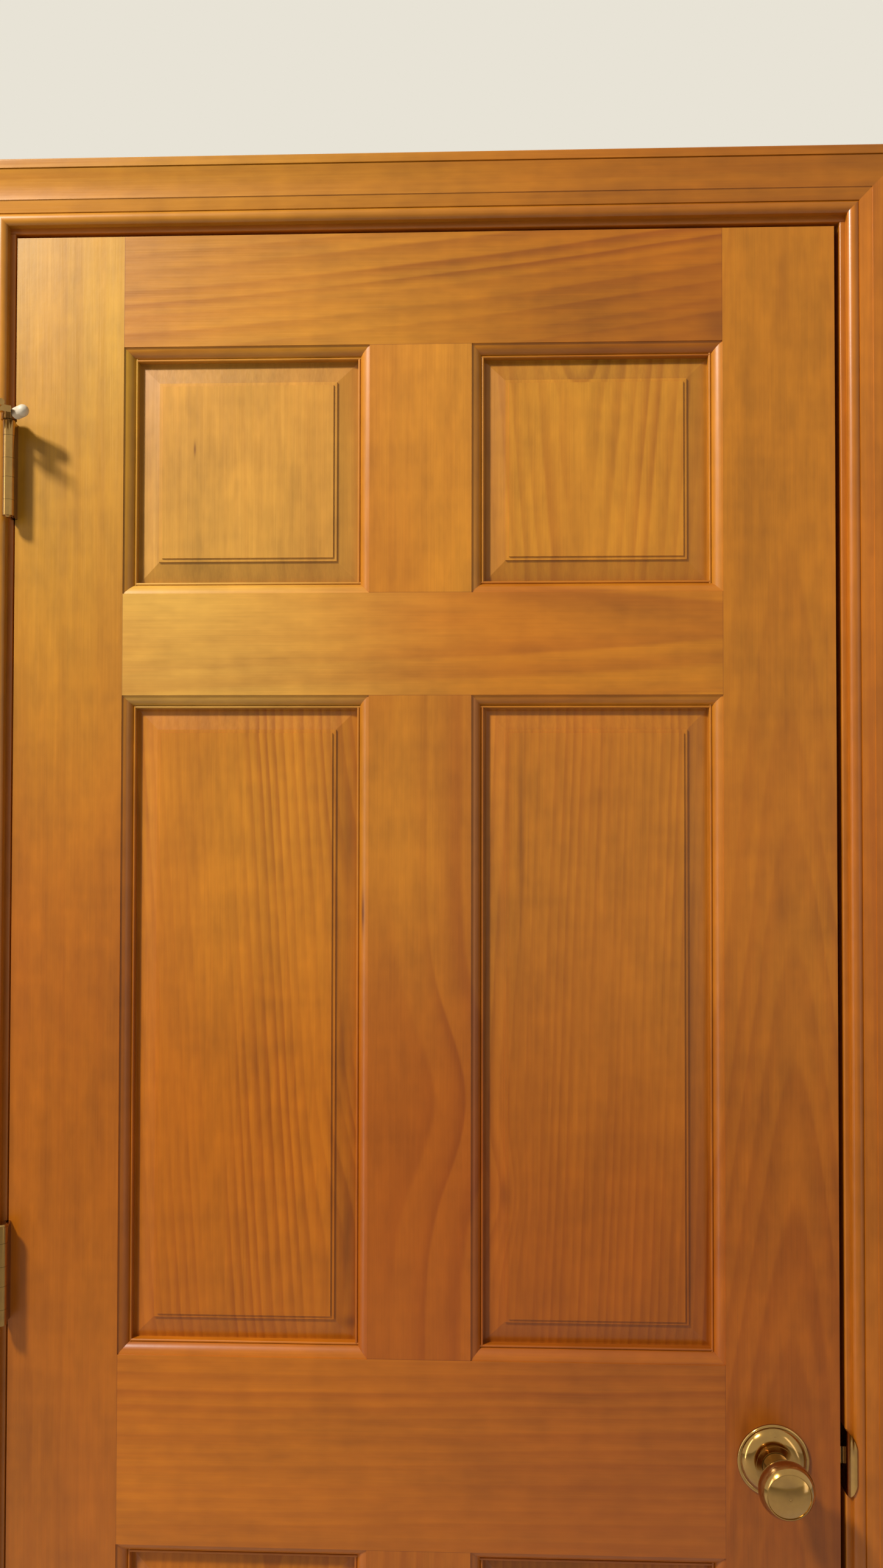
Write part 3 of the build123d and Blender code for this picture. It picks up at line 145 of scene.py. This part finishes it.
def finish_surface(graph, shader, colour, roughness, height, strength, distance):
    """Wire a shader's colour and roughness, and bump of the given strength and depth in metres."""
    graph.put(shader.inputs["Base Color"], colour)
    graph.put(shader.inputs["Roughness"], roughness)
    bump = graph.add("ShaderNodeBump", {"Strength": strength, "Distance": distance, "Height": height})
    graph.put(shader.inputs["Normal"], bump)


# Pine

# Inputs and outputs of the pine figure
PINE_SOCKETS = (
    ("INPUT", "NodeSocketFloat", ("Across", "Depth", "Along", "Pith across", "Pith depth")),
    ("INPUT", "NodeSocketFloat", ("Spacing", "Bulge", "Seed", "Contrast", "Waver", "Mark", "Shade")),
    ("INPUT", "NodeSocketColor", ("Early", "Late")),
    ("OUTPUT", "NodeSocketColor", ("Colour",)),
    ("OUTPUT", "NodeSocketFloat", ("Roughness", "Height")),
)

# Noise in the wood: features a metre across and along the grain, a shift that sets it apart from the others,
# detail and roughness
WOOD_NOISE = {
    "broad": (3.0, 1.1, 0.0, 1.0, 0.5),
    "middle": (14.0, 4.0, 5.0, 2.0, 0.5),
    "fine": (90.0, 12.0, 9.0, 2.0, 0.5),
    "fading": (11.0, 2.6, 13.0, 1.0, 0.5),
    "fibre": (900.0, 11.0, 2.0, 3.0, 0.6),
    "thread": (300.0, 3.5, 4.0, 2.0, 0.5),
    "cloud": (15.0, 5.0, 6.0, 3.0, 0.55),
    "fleck": (90.0, 28.0, 7.0, 2.0, 0.6),
    "ripple": (16.0, 60.0, 8.0, 1.0, 0.5),
    "blush": (6.0, 2.0, 11.0, 2.0, 0.5),
    "dimples": (260.0, 200.0, 3.0, 1.0, 0.5),
}
# How far noise moves from one seed to the next: across the grain, before its shift is added, and along it
SEED_STEP_ACROSS = 3.17
SEED_STEP_ALONG = 7.31

# How far each noise bends the rings, in metres
RING_BENDS = {"broad": 0.042, "middle": 0.0085, "fine": 0.0011}
# Rings that a noise along the radius adds or takes away, and its features a metre
UNEVEN_RINGS = 1.6
UNEVEN_SCALE = 30.0
# Where in a ring the late wood sets in and where it is darkest
LATE_START = 0.1
LATE_PEAK = 0.8
# Contrast of the weakest ring, and what is left of a ring where it fades
WEAKEST_RING = 0.4
FADED_RING = 0.35
FADING_RANGE = (0.3, 0.65)

# How much each noise lightens and darkens the wood
WOOD_SHADES = {"fibre": 0.3, "thread": 0.2, "cloud": 0.62, "fleck": 0.45, "ripple": 0.18}
# A redder cast in patches, and dark streaks
BLUSH_COLOUR = (172, 84, 16)
BLUSH_SHARE = 0.25
BLUSH_RANGE = (0.3, 0.7)
MARK_COLOUR = (84, 34, 8)
MARK_LIMIT = 0.9
# What the stain leaves of each colour in the late wood
LATE_STAIN = (0.62, 0.48, 0.42, 1.0)

# Varnish: its roughness over the fibres and what the late wood takes off, and heights for the bump
FIBRE_RANGE = (0.2, 0.8)
VARNISH_ROUGHNESS = (0.3, 0.4)
LATE_WOOD_POLISH = -0.05
LATE_WOOD_HEIGHT = 0.35
FIBRE_HEIGHT = 0.5
DIMPLE_HEIGHT = 0.6
BUMP_STRENGTH = 0.25
BUMP_DISTANCE = 0.0002
VARNISH_GLOSS = {"Coat Weight": 0.2, "Coat Roughness": 0.25, "Specular IOR Level": 0.3}

# Joint lines: how far from the joint they begin to fade and where they are gone, and their strength
JOINT_FADE = (0.0002, 0.0008)
JOINT_STRENGTH = 0.45
# Where the faces of the rails end against the stiles
RAIL_ENDS = (-0.2804, 0.2770)

# Bevels of the panels: width, the share of light taken off them as painted shade and the share taken off
# besides where they cut across the grain, which in part stands for the stain that end grain takes up, and how
# soft the bevel's edge and its mitre are. The top panels' bevels get more painted shade.
BEVEL_WIDTH = 0.028
BEVEL_PAINTED_SHADE = (0.05, 0.02)
TOP_BEVEL_PAINTED_SHADE = (0.15, 0.07)
BEVEL_EDGE = 0.0002
MITRE_EDGE = 0.0003


def make_pine_group():
    """Growth rings round a pith, cut by the board's faces, with fibres, clouds and varnish."""
    tree = bpy.data.node_groups.new("pine figure", "ShaderNodeTree")
    for direction, kind, names in PINE_SOCKETS:
        for name in names:
            tree.interface.new_socket(name, in_out=direction, socket_type=kind)
    graph = Graph(tree)
    given = tree.nodes.new("NodeGroupInput").outputs
    across, depth, along, seed = given["Across"], given["Depth"], given["Along"], given["Seed"]

    def wood_noise(scale_across, scale_along, shift, detail, roughness):
        """Noise drawn out along the grain and different for each seed."""
        vector = graph.vector(
            graph.times_plus(across, scale_across, graph.times(seed, SEED_STEP_ACROSS + shift)),
            graph.times_plus(depth, scale_across, shift),
            graph.times_plus(along, scale_along, graph.times(seed, SEED_STEP_ALONG)),
        )
        return graph.noise(vector, detail=detail, roughness=roughness)

    noises = {name: wood_noise(*numbers) for name, numbers in WOOD_NOISE.items()}
    bends = {name: graph.swing(noises[name], amount) for name, amount in RING_BENDS.items()}

    bend = graph.times(graph.plus(bends["broad"], bends["middle"]), given["Waver"])
    side = graph.plus(graph.minus(across, given["Pith across"]), bend)
    deep = graph.minus(depth, given["Pith depth"])
    radius = graph.math("SQRT", graph.times_plus(side, side, graph.times(deep, deep)))
    radius = graph.plus(graph.plus(radius, given["Bulge"]), bends["fine"])
    uneven = graph.noise(graph.vector(graph.times(radius, UNEVEN_SCALE), seed, 0.0), detail=1.0)
    rings = graph.plus(graph.math("DIVIDE", radius, given["Spacing"]), graph.swing(uneven, UNEVEN_RINGS))
    ring = graph.math("FLOOR", rings)
    place = graph.math("FRACT", rings)

    late = graph.times(graph.ramp(place, LATE_START, LATE_PEAK), graph.ramp(place, LATE_PEAK, 1.0, 1.0, 0.0))
    own = graph.add("ShaderNodeTexWhiteNoise", (graph.vector(ring, seed, 0.0),), noise_dimensions="3D")
    late = graph.times(late, graph.ramp(own, 0.0, 1.0, WEAKEST_RING, 1.0, smooth=False))
    late = graph.times(late, graph.ramp(noises["fading"], *FADING_RANGE, FADED_RING, 1.0))
    late = graph.times(late, given["Contrast"])

    shade = 1.0
    for name, amount in WOOD_SHADES.items():
        shade = graph.plus(shade, graph.swing(noises[name], amount))
    shade = graph.times(shade, given["Shade"])
    grey = graph.add("ShaderNodeCombineColor", (shade, shade, shade))
    colour = graph.mix(late, given["Early"], given["Late"])
    colour = graph.mix(1.0, colour, grey, "MULTIPLY")
    blush = graph.times(graph.ramp(noises["blush"], *BLUSH_RANGE), BLUSH_SHARE)
    colour = graph.mix(blush, colour, linear(*BLUSH_COLOUR))
    colour = graph.mix(given["Mark"], colour, linear(*MARK_COLOUR))

    polish = graph.times_plus(
        late, LATE_WOOD_POLISH, graph.ramp(noises["fibre"], *FIBRE_RANGE, *VARNISH_ROUGHNESS)
    )
    height = graph.times_plus(late, LATE_WOOD_HEIGHT, graph.times(noises["fibre"], FIBRE_HEIGHT))
    height = graph.times_plus(noises["dimples"], DIMPLE_HEIGHT, height)
    result = tree.nodes.new("NodeGroupOutput")
    graph.put(result.inputs["Colour"], colour)
    graph.put(result.inputs["Roughness"], polish)
    graph.put(result.inputs["Height"], height)
    return tree


def spot(graph, across, along, oval):
    """A soft oval from 0 to 1: its centre across and along, and its half sizes, in metres."""
    centre_across, centre_along, half_across, half_along = oval
    a = graph.math("DIVIDE", graph.minus(across, centre_across), half_across)
    b = graph.math("DIVIDE", graph.minus(along, centre_along), half_along)
    square = graph.times_plus(a, a, graph.times(b, b))
    return graph.math("EXPONENT", graph.times(square, -1.0))


def add_spots(graph, across, along, spots, value):
    """A value with the amount of each spot added where the spot lies."""
    for oval, amount in spots:
        value = graph.times_plus(spot(graph, across, along, oval), amount, value)
    return value


def joint_line(graph, along, line):
    """From 0 to 1, a hairline where one member ends against the next."""
    away = graph.math("ABSOLUTE", graph.minus(along, line))
    return graph.ramp(away, *JOINT_FADE, 1.0, 0.0)


def painted_bevel_shade(graph, across, along, panel):
    """Painted shade that darkens a panel's bevels against its field, more so where they cut across the grain,
    where it also stands for the stain that end grain takes up.
    """
    low, high, shade_share, end_grain_shade_share = panel
    side = graph.lesser(graph.minus(across, low[0]), graph.minus(high[0], across))
    end = graph.lesser(graph.minus(along, low[2]), graph.minus(high[2], along))
    nearest = graph.lesser(side, end)
    on_bevel = graph.ramp(nearest, BEVEL_WIDTH - BEVEL_EDGE, BEVEL_WIDTH + BEVEL_EDGE, 1.0, 0.0)
    across_grain = graph.ramp(graph.minus(side, end), -MITRE_EDGE, MITRE_EDGE)
    painted_darkening = graph.times(on_bevel, graph.times_plus(across_grain, end_grain_shade_share, shade_share))
    return graph.minus(1.0, painted_darkening)


def board_colours(graph, along, tone_and_light):
    """Early and late wood, from one colour to another between two places along the board; the change carries
    painted light.
    """
    first, second, start, end = tone_and_light
    early = graph.mix(graph.ramp(along, start, end), linear(*first), linear(*second))
    return early, graph.mix(1.0, early, LATE_STAIN, "MULTIPLY")


def pine(name, board, seed, tone_and_light, bulges=(), calms=(), marks=(), shades=(), joints=(), panel=None):
    """Varnished pine for one board, with what its tables say and the lines where it meets other members."""
    material, graph, shader = new_material(name)
    x, y, z = graph.split(graph.place())
    across, along = (z, x) if board.grain == "x" else (x, z)

    bulge = graph.times_plus(graph.times(along, along), board.bow, graph.times(along, board.lean))
    bulge = add_spots(graph, across, along, bulges, bulge)
    mark = add_spots(graph, across, along, marks, 0.0)
    for line in joints:
        mark = graph.times_plus(joint_line(graph, along, line), JOINT_STRENGTH, mark)
    shade = add_spots(graph, across, along, shades, board.tone)
    # Painted shade on the panel's bevels.
    if panel:
        shade = graph.times(painted_bevel_shade(graph, across, along, panel), shade)
    contrast = board.contrast
    for oval, amount in calms:
        calm = graph.times_plus(spot(graph, across, along, oval), -amount, 1.0)
        contrast = graph.times(calm, contrast)
    # The early and late wood colours carry painted light from the tone table.
    early, late = board_colours(graph, along, tone_and_light)

    figure = graph.tree.nodes.new("ShaderNodeGroup")
    figure.node_tree = pine_group
    inputs = {
        "Across": across,
        "Depth": y,
        "Along": along,
        "Pith across": board.pith[0],
        "Pith depth": board.pith[1],
        "Spacing": board.spacing,
        "Bulge": bulge,
        "Seed": seed,
        "Contrast": contrast,
        "Waver": board.waver,
        "Mark": graph.lesser(mark, MARK_LIMIT),
        "Shade": shade,
        "Early": early,
        "Late": late,
    }
    for key, value in inputs.items():
        graph.put(figure.inputs[key], value)
    finish_surface(
        graph,
        shader,
        colour=figure.outputs["Colour"],
        roughness=figure.outputs["Roughness"],
        height=figure.outputs["Height"],
        strength=BUMP_STRENGTH,
        distance=BUMP_DISTANCE,
    )
    for key, value in VARNISH_GLOSS.items():
        shader.inputs[key].default_value = value
    return material


# How each board was cut: the axis of its grain, its pith across and in depth, how the rings lean and bow
# along it, their spacing, contrast and waver, and the board's tone. Its place in the list is its seed.
Board = namedtuple("Board", "grain pith lean bow spacing contrast waver tone")
BOARDS = {
    "hinge_stile": Board("z", (-0.62, 0.10), 0.012, 0.0, 0.0170, 0.25, 1.0, 1.0),
    "lock_stile": Board("z", (0.330, -0.008), 0.100, 0.0, 0.0120, 0.5, 0.9, 1.0),
    "top_rail": Board("x", (1.00, 0.00), -0.107, -0.09, 0.0150, 0.85, 0.5, 0.92),
    "frieze_rail": Board("x", (1.682, -0.007), 0.045, 0.0, 0.0165, 0.6, 0.5, 1.02),
    "lock_rail": Board("x", (0.70, 0.00), -0.010, 0.0, 0.0140, 0.65, 0.8, 0.98),
    "bottom_rail": Board("x", (0.00, 0.08), -0.020, 0.03, 0.0120, 0.7, 0.9, 1.0),
    "top_mullion": Board("z", (0.24, 0.09), 0.010, 0.0, 0.0160, 0.15, 0.8, 1.0),
    "middle_mullion": Board("z", (-0.308, 0.00), 0.0, 0.0, 0.0290, 0.75, 0.3, 1.0),
    "bottom_mullion": Board("z", (0.10, 0.00), 0.060, 0.0, 0.0150, 0.6, 0.8, 1.0),
    "top_left_panel": Board("z", (-0.45, 0.06), 0.014, 0.0, 0.0100, 0.2, 0.8, 1.02),
    "top_right_panel": Board("z", (0.148, -0.012), -0.080, 0.0, 0.0120, 0.75, 0.35, 1.03),
    "middle_left_panel": Board("z", (-0.60, 0.00), 0.070, 0.0, 0.0088, 0.9, 0.3, 0.98),
    "middle_right_panel": Board("z", (0.60, 0.00), 0.040, 0.0, 0.0082, 0.75, 0.25, 0.95),
    "bottom_left_panel": Board("z", (-0.14, -0.01), 0.050, 0.0, 0.0080, 0.7, 0.5, 0.98),
    "bottom_right_panel": Board("z", (0.50, 0.00), 0.020, 0.0, 0.0080, 0.7, 0.5, 0.96),
    "hinge_jamb": Board("z", (-0.36, 0.30), 0.003, 0.0, 0.0080, 0.7, 0.7, 0.95),
    "strike_jamb": Board("z", (0.36, -0.20), 0.003, 0.0, 0.0080, 0.7, 0.7, 0.95),
    "head_jamb": Board("x", (2.00, 0.30), 0.003, 0.0, 0.0080, 0.7, 0.7, 0.95),
    "hinge_side_stop": Board("z", (-0.42, 0.10), 0.003, 0.0, 0.0060, 0.7, 0.7, 0.95),
    "strike_side_stop": Board("z", (0.42, 0.10), 0.003, 0.0, 0.0060, 0.7, 0.7, 0.95),
    "head_stop": Board("x", (2.10, 0.10), 0.003, 0.0, 0.0060, 0.7, 0.7, 0.95),
    "front_casing_left": Board("z", (-0.60, 0.05), 0.004, 0.0, 0.0110, 0.35, 0.6, 0.92),
    "front_casing_right": Board("z", (0.62, 0.05), 0.004, 0.0, 0.0110, 0.4, 0.6, 0.92),
    "front_casing_head": Board("x", (2.30, 0.05), 0.006, 0.0, 0.0120, 0.4, 0.6, 0.78),
    "back_casing_left": Board("z", (-0.60, 0.05), 0.004, 0.0, 0.0090, 0.6, 0.6, 0.95),
    "back_casing_right": Board("z", (0.60, 0.05), 0.004, 0.0, 0.0090, 0.6, 0.6, 0.95),
    "back_casing_head": Board("x", (2.30, 0.05), 0.006, 0.0, 0.0090, 0.6, 0.6, 0.95),
}

# Places where the rings bend: an oval, and how far they bend in metres
BULGES = {
    "middle_mullion": (((0.030, 1.238, 0.080, 0.095), -0.038), ((-0.065, 1.250, 0.030, 3.000), 0.020)),
    "middle_left_panel": (((-0.060, 1.100, 0.035, 0.110), -0.020), ((-0.060, 1.440, 0.022, 0.100), -0.010)),
    "middle_right_panel": (((0.070, 1.148, 0.025, 0.045), 0.014), ((0.085, 1.460, 0.012, 0.120), 0.008)),
    "hinge_stile": (((-0.300, 0.880, 0.030, 0.120), 0.040),),
    "top_right_panel": (((0.142, 1.885, 0.020, 0.025), 0.005),),
}

# Places where the rings show less: an oval, and the share of their contrast that is lost
CALMS = {
    "lock_stile": (((0.330, 1.850, 0.200, 0.230), 0.85),),
    "middle_mullion": (((-0.035, 1.520, 0.020, 0.100), 0.9), ((-0.035, 1.030, 0.020, 0.060), 0.9)),
    "frieze_rail": (((1.660, -0.220, 0.080, 0.160), 0.5),),
    "middle_left_panel": (((-0.192, 1.250, 0.017, 0.350), 0.9), ((-0.240, 1.300, 0.025, 0.500), 0.4)),
    "middle_right_panel": (((0.100, 1.330, 0.045, 0.500), 0.6),),
    "top_right_panel": (((0.148, 1.760, 0.017, 0.060), 0.8),),
    "top_rail": (((1.940, 0.000, 0.022, 0.400), 0.6),),
}

# Dark streaks: an oval, and its strength
MARKS = {
    "top_left_panel": (((-0.2149, 1.8448, 0.0010, 0.0060), 0.7),),
    "middle_left_panel": (
        ((-0.0685, 1.471, 0.0050, 0.034), 0.42),
        ((-0.0735, 1.290, 0.0035, 0.050), 0.42),
        ((-0.0690, 1.105, 0.0050, 0.040), 0.55),
        ((-0.0660, 1.030, 0.0090, 0.006), 0.50),
    ),
    "middle_right_panel": (
        ((0.0770, 1.150, 0.0060, 0.018), 0.35),
        ((0.0920, 1.480, 0.0024, 0.085), 0.50),
        ((0.2480, 1.340, 0.0050, 0.200), 0.28),
    ),
    "middle_mullion": (((-0.0543, 1.410, 0.0012, 0.018), 0.85),),
    "lock_stile": (
        ((0.3320, 1.995, 0.0060, 0.035), 0.28),
        ((0.3290, 1.418, 0.0060, 0.030), 0.25),
        ((0.3330, 1.280, 0.0100, 0.025), 0.18),
    ),
}

# Places that are lighter or darker: an oval, and the change
SHADES = {
    "top_rail": (((1.940, 0.280, 0.050, 0.200), -0.10), ((1.955, 0.274, 0.018, 0.014), -0.30)),
    "frieze_rail": (((1.690, 0.200, 0.014, 0.110), -0.16),),
    "middle_mullion": (((-0.022, 1.205, 0.030, 0.070), -0.10),),
    "hinge_stile": (
        ((-0.346, 1.173, 0.012, 0.030), -0.12),
        ((-0.359, 1.100, 0.004, 0.200), 0.08),
        ((-0.347, 1.250, 0.004, 0.250), -0.06),
    ),
    "lock_stile": (((0.300, 1.800, 0.006, 0.150), -0.14), ((0.330, 2.000, 0.060, 0.120), -0.09)),
}

# Early wood: its colour at one place along the board and at another, and the two places. Besides each board's
# own tone, these colours carry painted light: lighter and yellower towards the upper left, where the lamp and
# its sheen fall, and darker lower down and to the right.
TONES_AND_PAINTED_LIGHT = {
    "hinge_stile": ((159, 87, 9), (175, 129, 31), 1.30, 2.00),
    "lock_stile": ((158, 82, 9), (178, 110, 22), 1.00, 1.65),
    "top_rail": ((180, 121, 30), (167, 98, 10), -0.20, 0.20),
    "frieze_rail": ((193, 148, 62), (181, 112, 22), -0.24, 0.10),
    "lock_rail": ((180, 103, 12), (158, 85, 14), -0.20, 0.20),
    "bottom_rail": ((172, 98, 16), (166, 92, 14), -0.20, 0.20),
    "top_mullion": ((183, 118, 28), (183, 121, 32), 1.70, 1.90),
    "middle_mullion": ((161, 84, 9), (172, 107, 24), 1.20, 1.50),
    "bottom_mullion": ((166, 92, 14), (166, 92, 14), 0.30, 0.80),
    "top_left_panel": ((187, 134, 50), (187, 134, 50), 1.70, 1.90),
    "top_right_panel": ((186, 124, 32), (186, 126, 34), 1.70, 1.90),
    "middle_left_panel": ((175, 98, 9), (183, 117, 25), 1.20, 1.55),
    "middle_right_panel": ((160, 84, 8), (180, 111, 26), 1.05, 1.50),
    "bottom_left_panel": ((170, 96, 14), (172, 98, 14), 0.30, 0.80),
    "bottom_right_panel": ((164, 90, 12), (166, 91, 12), 0.30, 0.80),
    "front_casing_left": ((172, 100, 16), (182, 124, 32), 1.20, 1.95),
    "front_casing_right": ((170, 94, 14), (180, 106, 22), 1.20, 1.95),
    "front_casing_head": ((192, 134, 34), (178, 106, 18), -0.25, 0.25),
}
PLAIN_TINT = ((180, 106, 22), (180, 106, 22), 0.0, 1.0)

# The dowels are beech, which is pale and has fine, even rings
BEECH_TINT = ((214, 178, 132), (214, 178, 132), 0.0, 1.0)
BEECH = Board("x", (0.9, 0.0), 0.0, 0.0, 0.003, 0.5, 0.3, 1.0)
BEECH_SEED = 31.0


def member_details(name):
    """The lines where a rail or a mullion meets other members, and the bevels of a panel."""
    if name.endswith("_rail"):
        return {"joints": RAIL_ENDS}
    low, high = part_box(name)
    if name.endswith("_mullion"):
        return {"joints": (low[2], high[2])}
    if name.endswith("_panel"):
        # The top panels' bevels get more painted shade.
        painted_shade_shares = TOP_BEVEL_PAINTED_SHADE if name.startswith("top_") else BEVEL_PAINTED_SHADE
        return {"panel": (low, high, *painted_shade_shares)}
    return {}


pine_group = make_pine_group()
for seed, (name, board) in enumerate(BOARDS.items(), start=1):
    nodes[name].data.materials[0] = pine(
        "pine " + name.replace("_", " "),
        board,
        float(seed),
        TONES_AND_PAINTED_LIGHT.get(name, PLAIN_TINT),
        BULGES.get(name, ()),
        CALMS.get(name, ()),
        MARKS.get(name, ()),
        SHADES.get(name, ()),
        **member_details(name),
    )


# Brass, steel and rubber

# Handled metal: how much of the darker colour shows in its patches, and how much duller they are
FILM_TINT = 0.35
FILM_DULLING = 0.12
LACQUER_ROUGHNESS = 0.06
# Soiled rubber: the same for its dirt, with its roughness where clean and where soiled
SOIL_TINT = 0.4
SOIL_ROUGHNESS = (0.5, 0.7)


def metal(name, colour, dark, roughness, scratch, lacquer):
    """Metal with faint hairlines, a film of handling in patches, and clear lacquer over both."""
    material, graph, shader = new_material(name)
    place = graph.place()
    film = graph.ramp(graph.noise(place, scale=55.0, detail=4.0, roughness=0.6), low=0.35, high=0.75)
    finish_surface(
        graph,
        shader,
        colour=graph.mix(graph.times(film, FILM_TINT), linear(*colour), linear(*dark)),
        roughness=graph.times_plus(film, FILM_DULLING, roughness),
        height=graph.noise(place, scale=900.0),
        strength=scratch,
        distance=0.00005,
    )
    shader.inputs["Metallic"].default_value = 1.0
    shader.inputs["Coat Weight"].default_value = lacquer
    shader.inputs["Coat Roughness"].default_value = LACQUER_ROUGHNESS
    return material


def rubber(name, colour, dirt):
    """Matt rubber, a little soiled."""
    material, graph, shader = new_material(name)
    place = graph.place()
    soil = graph.ramp(graph.noise(place, scale=130.0, detail=3.0, roughness=0.6), low=0.45, high=0.8)
    finish_surface(
        graph,
        shader,
        colour=graph.mix(graph.times(soil, SOIL_TINT), linear(*colour), linear(*dirt)),
        roughness=graph.ramp(soil, 0.0, 1.0, *SOIL_ROUGHNESS),
        height=graph.noise(place, scale=1500.0),
        strength=0.3,
        distance=0.0001,
    )
    return material


# The brass is darker and browner than new brass, partly for its age and partly as painted shade for the dark
# room that the brass parts mirror; its patches of handling film are darker still.
brass = metal("lacquered brass", (166, 126, 58), (104, 70, 28), roughness=0.12, scratch=0.12, lacquer=0.8)
steel = metal("zinc plated steel", (190, 190, 186), (140, 140, 138), roughness=0.32, scratch=0.3, lacquer=0.0)
white_rubber = rubber("white rubber", (196, 184, 160), (140, 122, 96))
beech = pine("beech dowels", BEECH, BEECH_SEED, BEECH_TINT)
finishes = {"brass": brass, "steel": steel, "white_rubber": white_rubber, "dowel_beech": beech}
for part in frame["record"]["subparts"]:
    if part["material_slot"] in finishes:
        nodes[part["node"]].data.materials[0] = finishes[part["material_slot"]]


# The latch's spring

def squeezed_spring():
    """A copy of the spring, put where it stands, while the original is hidden."""
    solid = nodes["latch_spring"]
    coil = bpy.data.objects.new("latch_spring_coil", solid.data.copy())
    coil.matrix_world = solid.matrix_world
    bpy.context.scene.collection.objects.link(coil)
    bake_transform(coil)
    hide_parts("latch_spring")


squeezed_spring()


# Floor, lights and camera

FLOOR_HALF = 6.0
FLOOR_COLOURS = ((222, 219, 213), (229, 226, 221))
FLOOR_ROUGHNESS = 0.8
SURROUNDINGS = (232, 227, 214)
# Strength of the surroundings as they light the object, and as they are seen or mirrored
LIGHT_STRENGTH = 0.34
SEEN_STRENGTH = 1.0

# Lamps: place, the point they face, width and height, power in watts, and colour
UPPER_DOOR = (0.0, 0.0, 1.4)
MIDDLE_DOOR = (0.0, 0.0, 1.2)
WARM_WHITE = (1.0, 0.97, 0.92)
SOFT_WHITE = (1.0, 0.98, 0.95)
LAMPS = {
    "key": ((-1.40, -1.29, 3.17), UPPER_DOOR, (0.26, 0.26), 78.0, WARM_WHITE),
    "soft left": ((-2.10, -1.25, 1.40), UPPER_DOOR, (0.30, 2.60), 12.0, WARM_WHITE),
    "soft back": ((0.90, 2.30, 2.10), MIDDLE_DOOR, (1.20, 1.20), 40.0, SOFT_WHITE),
    "soft right": ((1.90, -1.70, 1.30), UPPER_DOOR, (0.30, 2.20), 4.0, SOFT_WHITE),
}

# Camera: its place, its turn in degrees, its lens and sensor in millimetres, and the nearest that it shows
CAMERA_PLACE = (0.0548, -1.1066, 1.5075)
CAMERA_TURN = (91.161, -0.0985, 1.946)
LENS = 26.62
SENSOR_WIDTH = 36.0
NEAREST = 0.05


def make_floor():
    """A wide pale floor with a faint change of tone."""
    mesh = bpy.data.meshes.new("floor")
    corners = [(x * FLOOR_HALF, y * FLOOR_HALF, 0) for x, y in ((-1, -1), (1, -1), (1, 1), (-1, 1))]
    mesh.from_pydata(corners, [], [(0, 1, 2, 3)])
    floor = bpy.data.objects.new("floor", mesh)
    bpy.context.scene.collection.objects.link(floor)
    material, graph, shader = new_material("pale floor")
    first, second = FLOOR_COLOURS
    tone = graph.mix(graph.noise(graph.place(), scale=2.0), linear(*first), linear(*second))
    graph.put(shader.inputs["Base Color"], tone)
    shader.inputs["Roughness"].default_value = FLOOR_ROUGHNESS
    mesh.materials.append(material)


def make_world():
    """Pale surroundings that light the object less than they show in the picture and in reflections."""
    world = bpy.data.worlds.new("studio")
    world.use_nodes = True
    graph = Graph(world.node_tree)
    path = world.node_tree.nodes.new("ShaderNodeLightPath")
    seen = graph.math("MAXIMUM", path.outputs["Is Camera Ray"], path.outputs["Is Glossy Ray"])
    seen = graph.math("MAXIMUM", seen, path.outputs["Is Transmission Ray"])
    strength = graph.ramp(seen, 0.0, 1.0, LIGHT_STRENGTH, SEEN_STRENGTH, smooth=False)
    background = world.node_tree.nodes["Background"]
    background.inputs["Color"].default_value = linear(*SURROUNDINGS)
    graph.put(background.inputs["Strength"], strength)
    bpy.context.scene.world = world


def make_lamp(name, place, target, size, power, colour):
    """A rectangular lamp that faces a point."""
    lamp = bpy.data.lights.new(name, "AREA")
    lamp.shape = "RECTANGLE"
    lamp.size, lamp.size_y = size
    lamp.energy = power
    lamp.color = colour
    holder = bpy.data.objects.new(name, lamp)
    holder.location = place
    aim = Vector(target) - Vector(place)
    holder.rotation_euler = aim.to_track_quat("-Z", "Y").to_euler()
    bpy.context.scene.collection.objects.link(holder)


def make_camera():
    """The photograph's viewpoint."""
    camera = bpy.data.cameras.new("camera")
    camera.lens = LENS
    camera.sensor_width = SENSOR_WIDTH
    camera.clip_start = NEAREST
    holder = bpy.data.objects.new("camera", camera)
    holder.location = CAMERA_PLACE
    holder.rotation_euler = [math.radians(angle) for angle in CAMERA_TURN]
    bpy.context.scene.collection.objects.link(holder)
    bpy.context.scene.camera = holder


make_floor()
make_world()
for name, numbers in LAMPS.items():
    make_lamp(name, *numbers)
make_camera()
bpy.context.scene.view_settings.view_transform = "Standard"
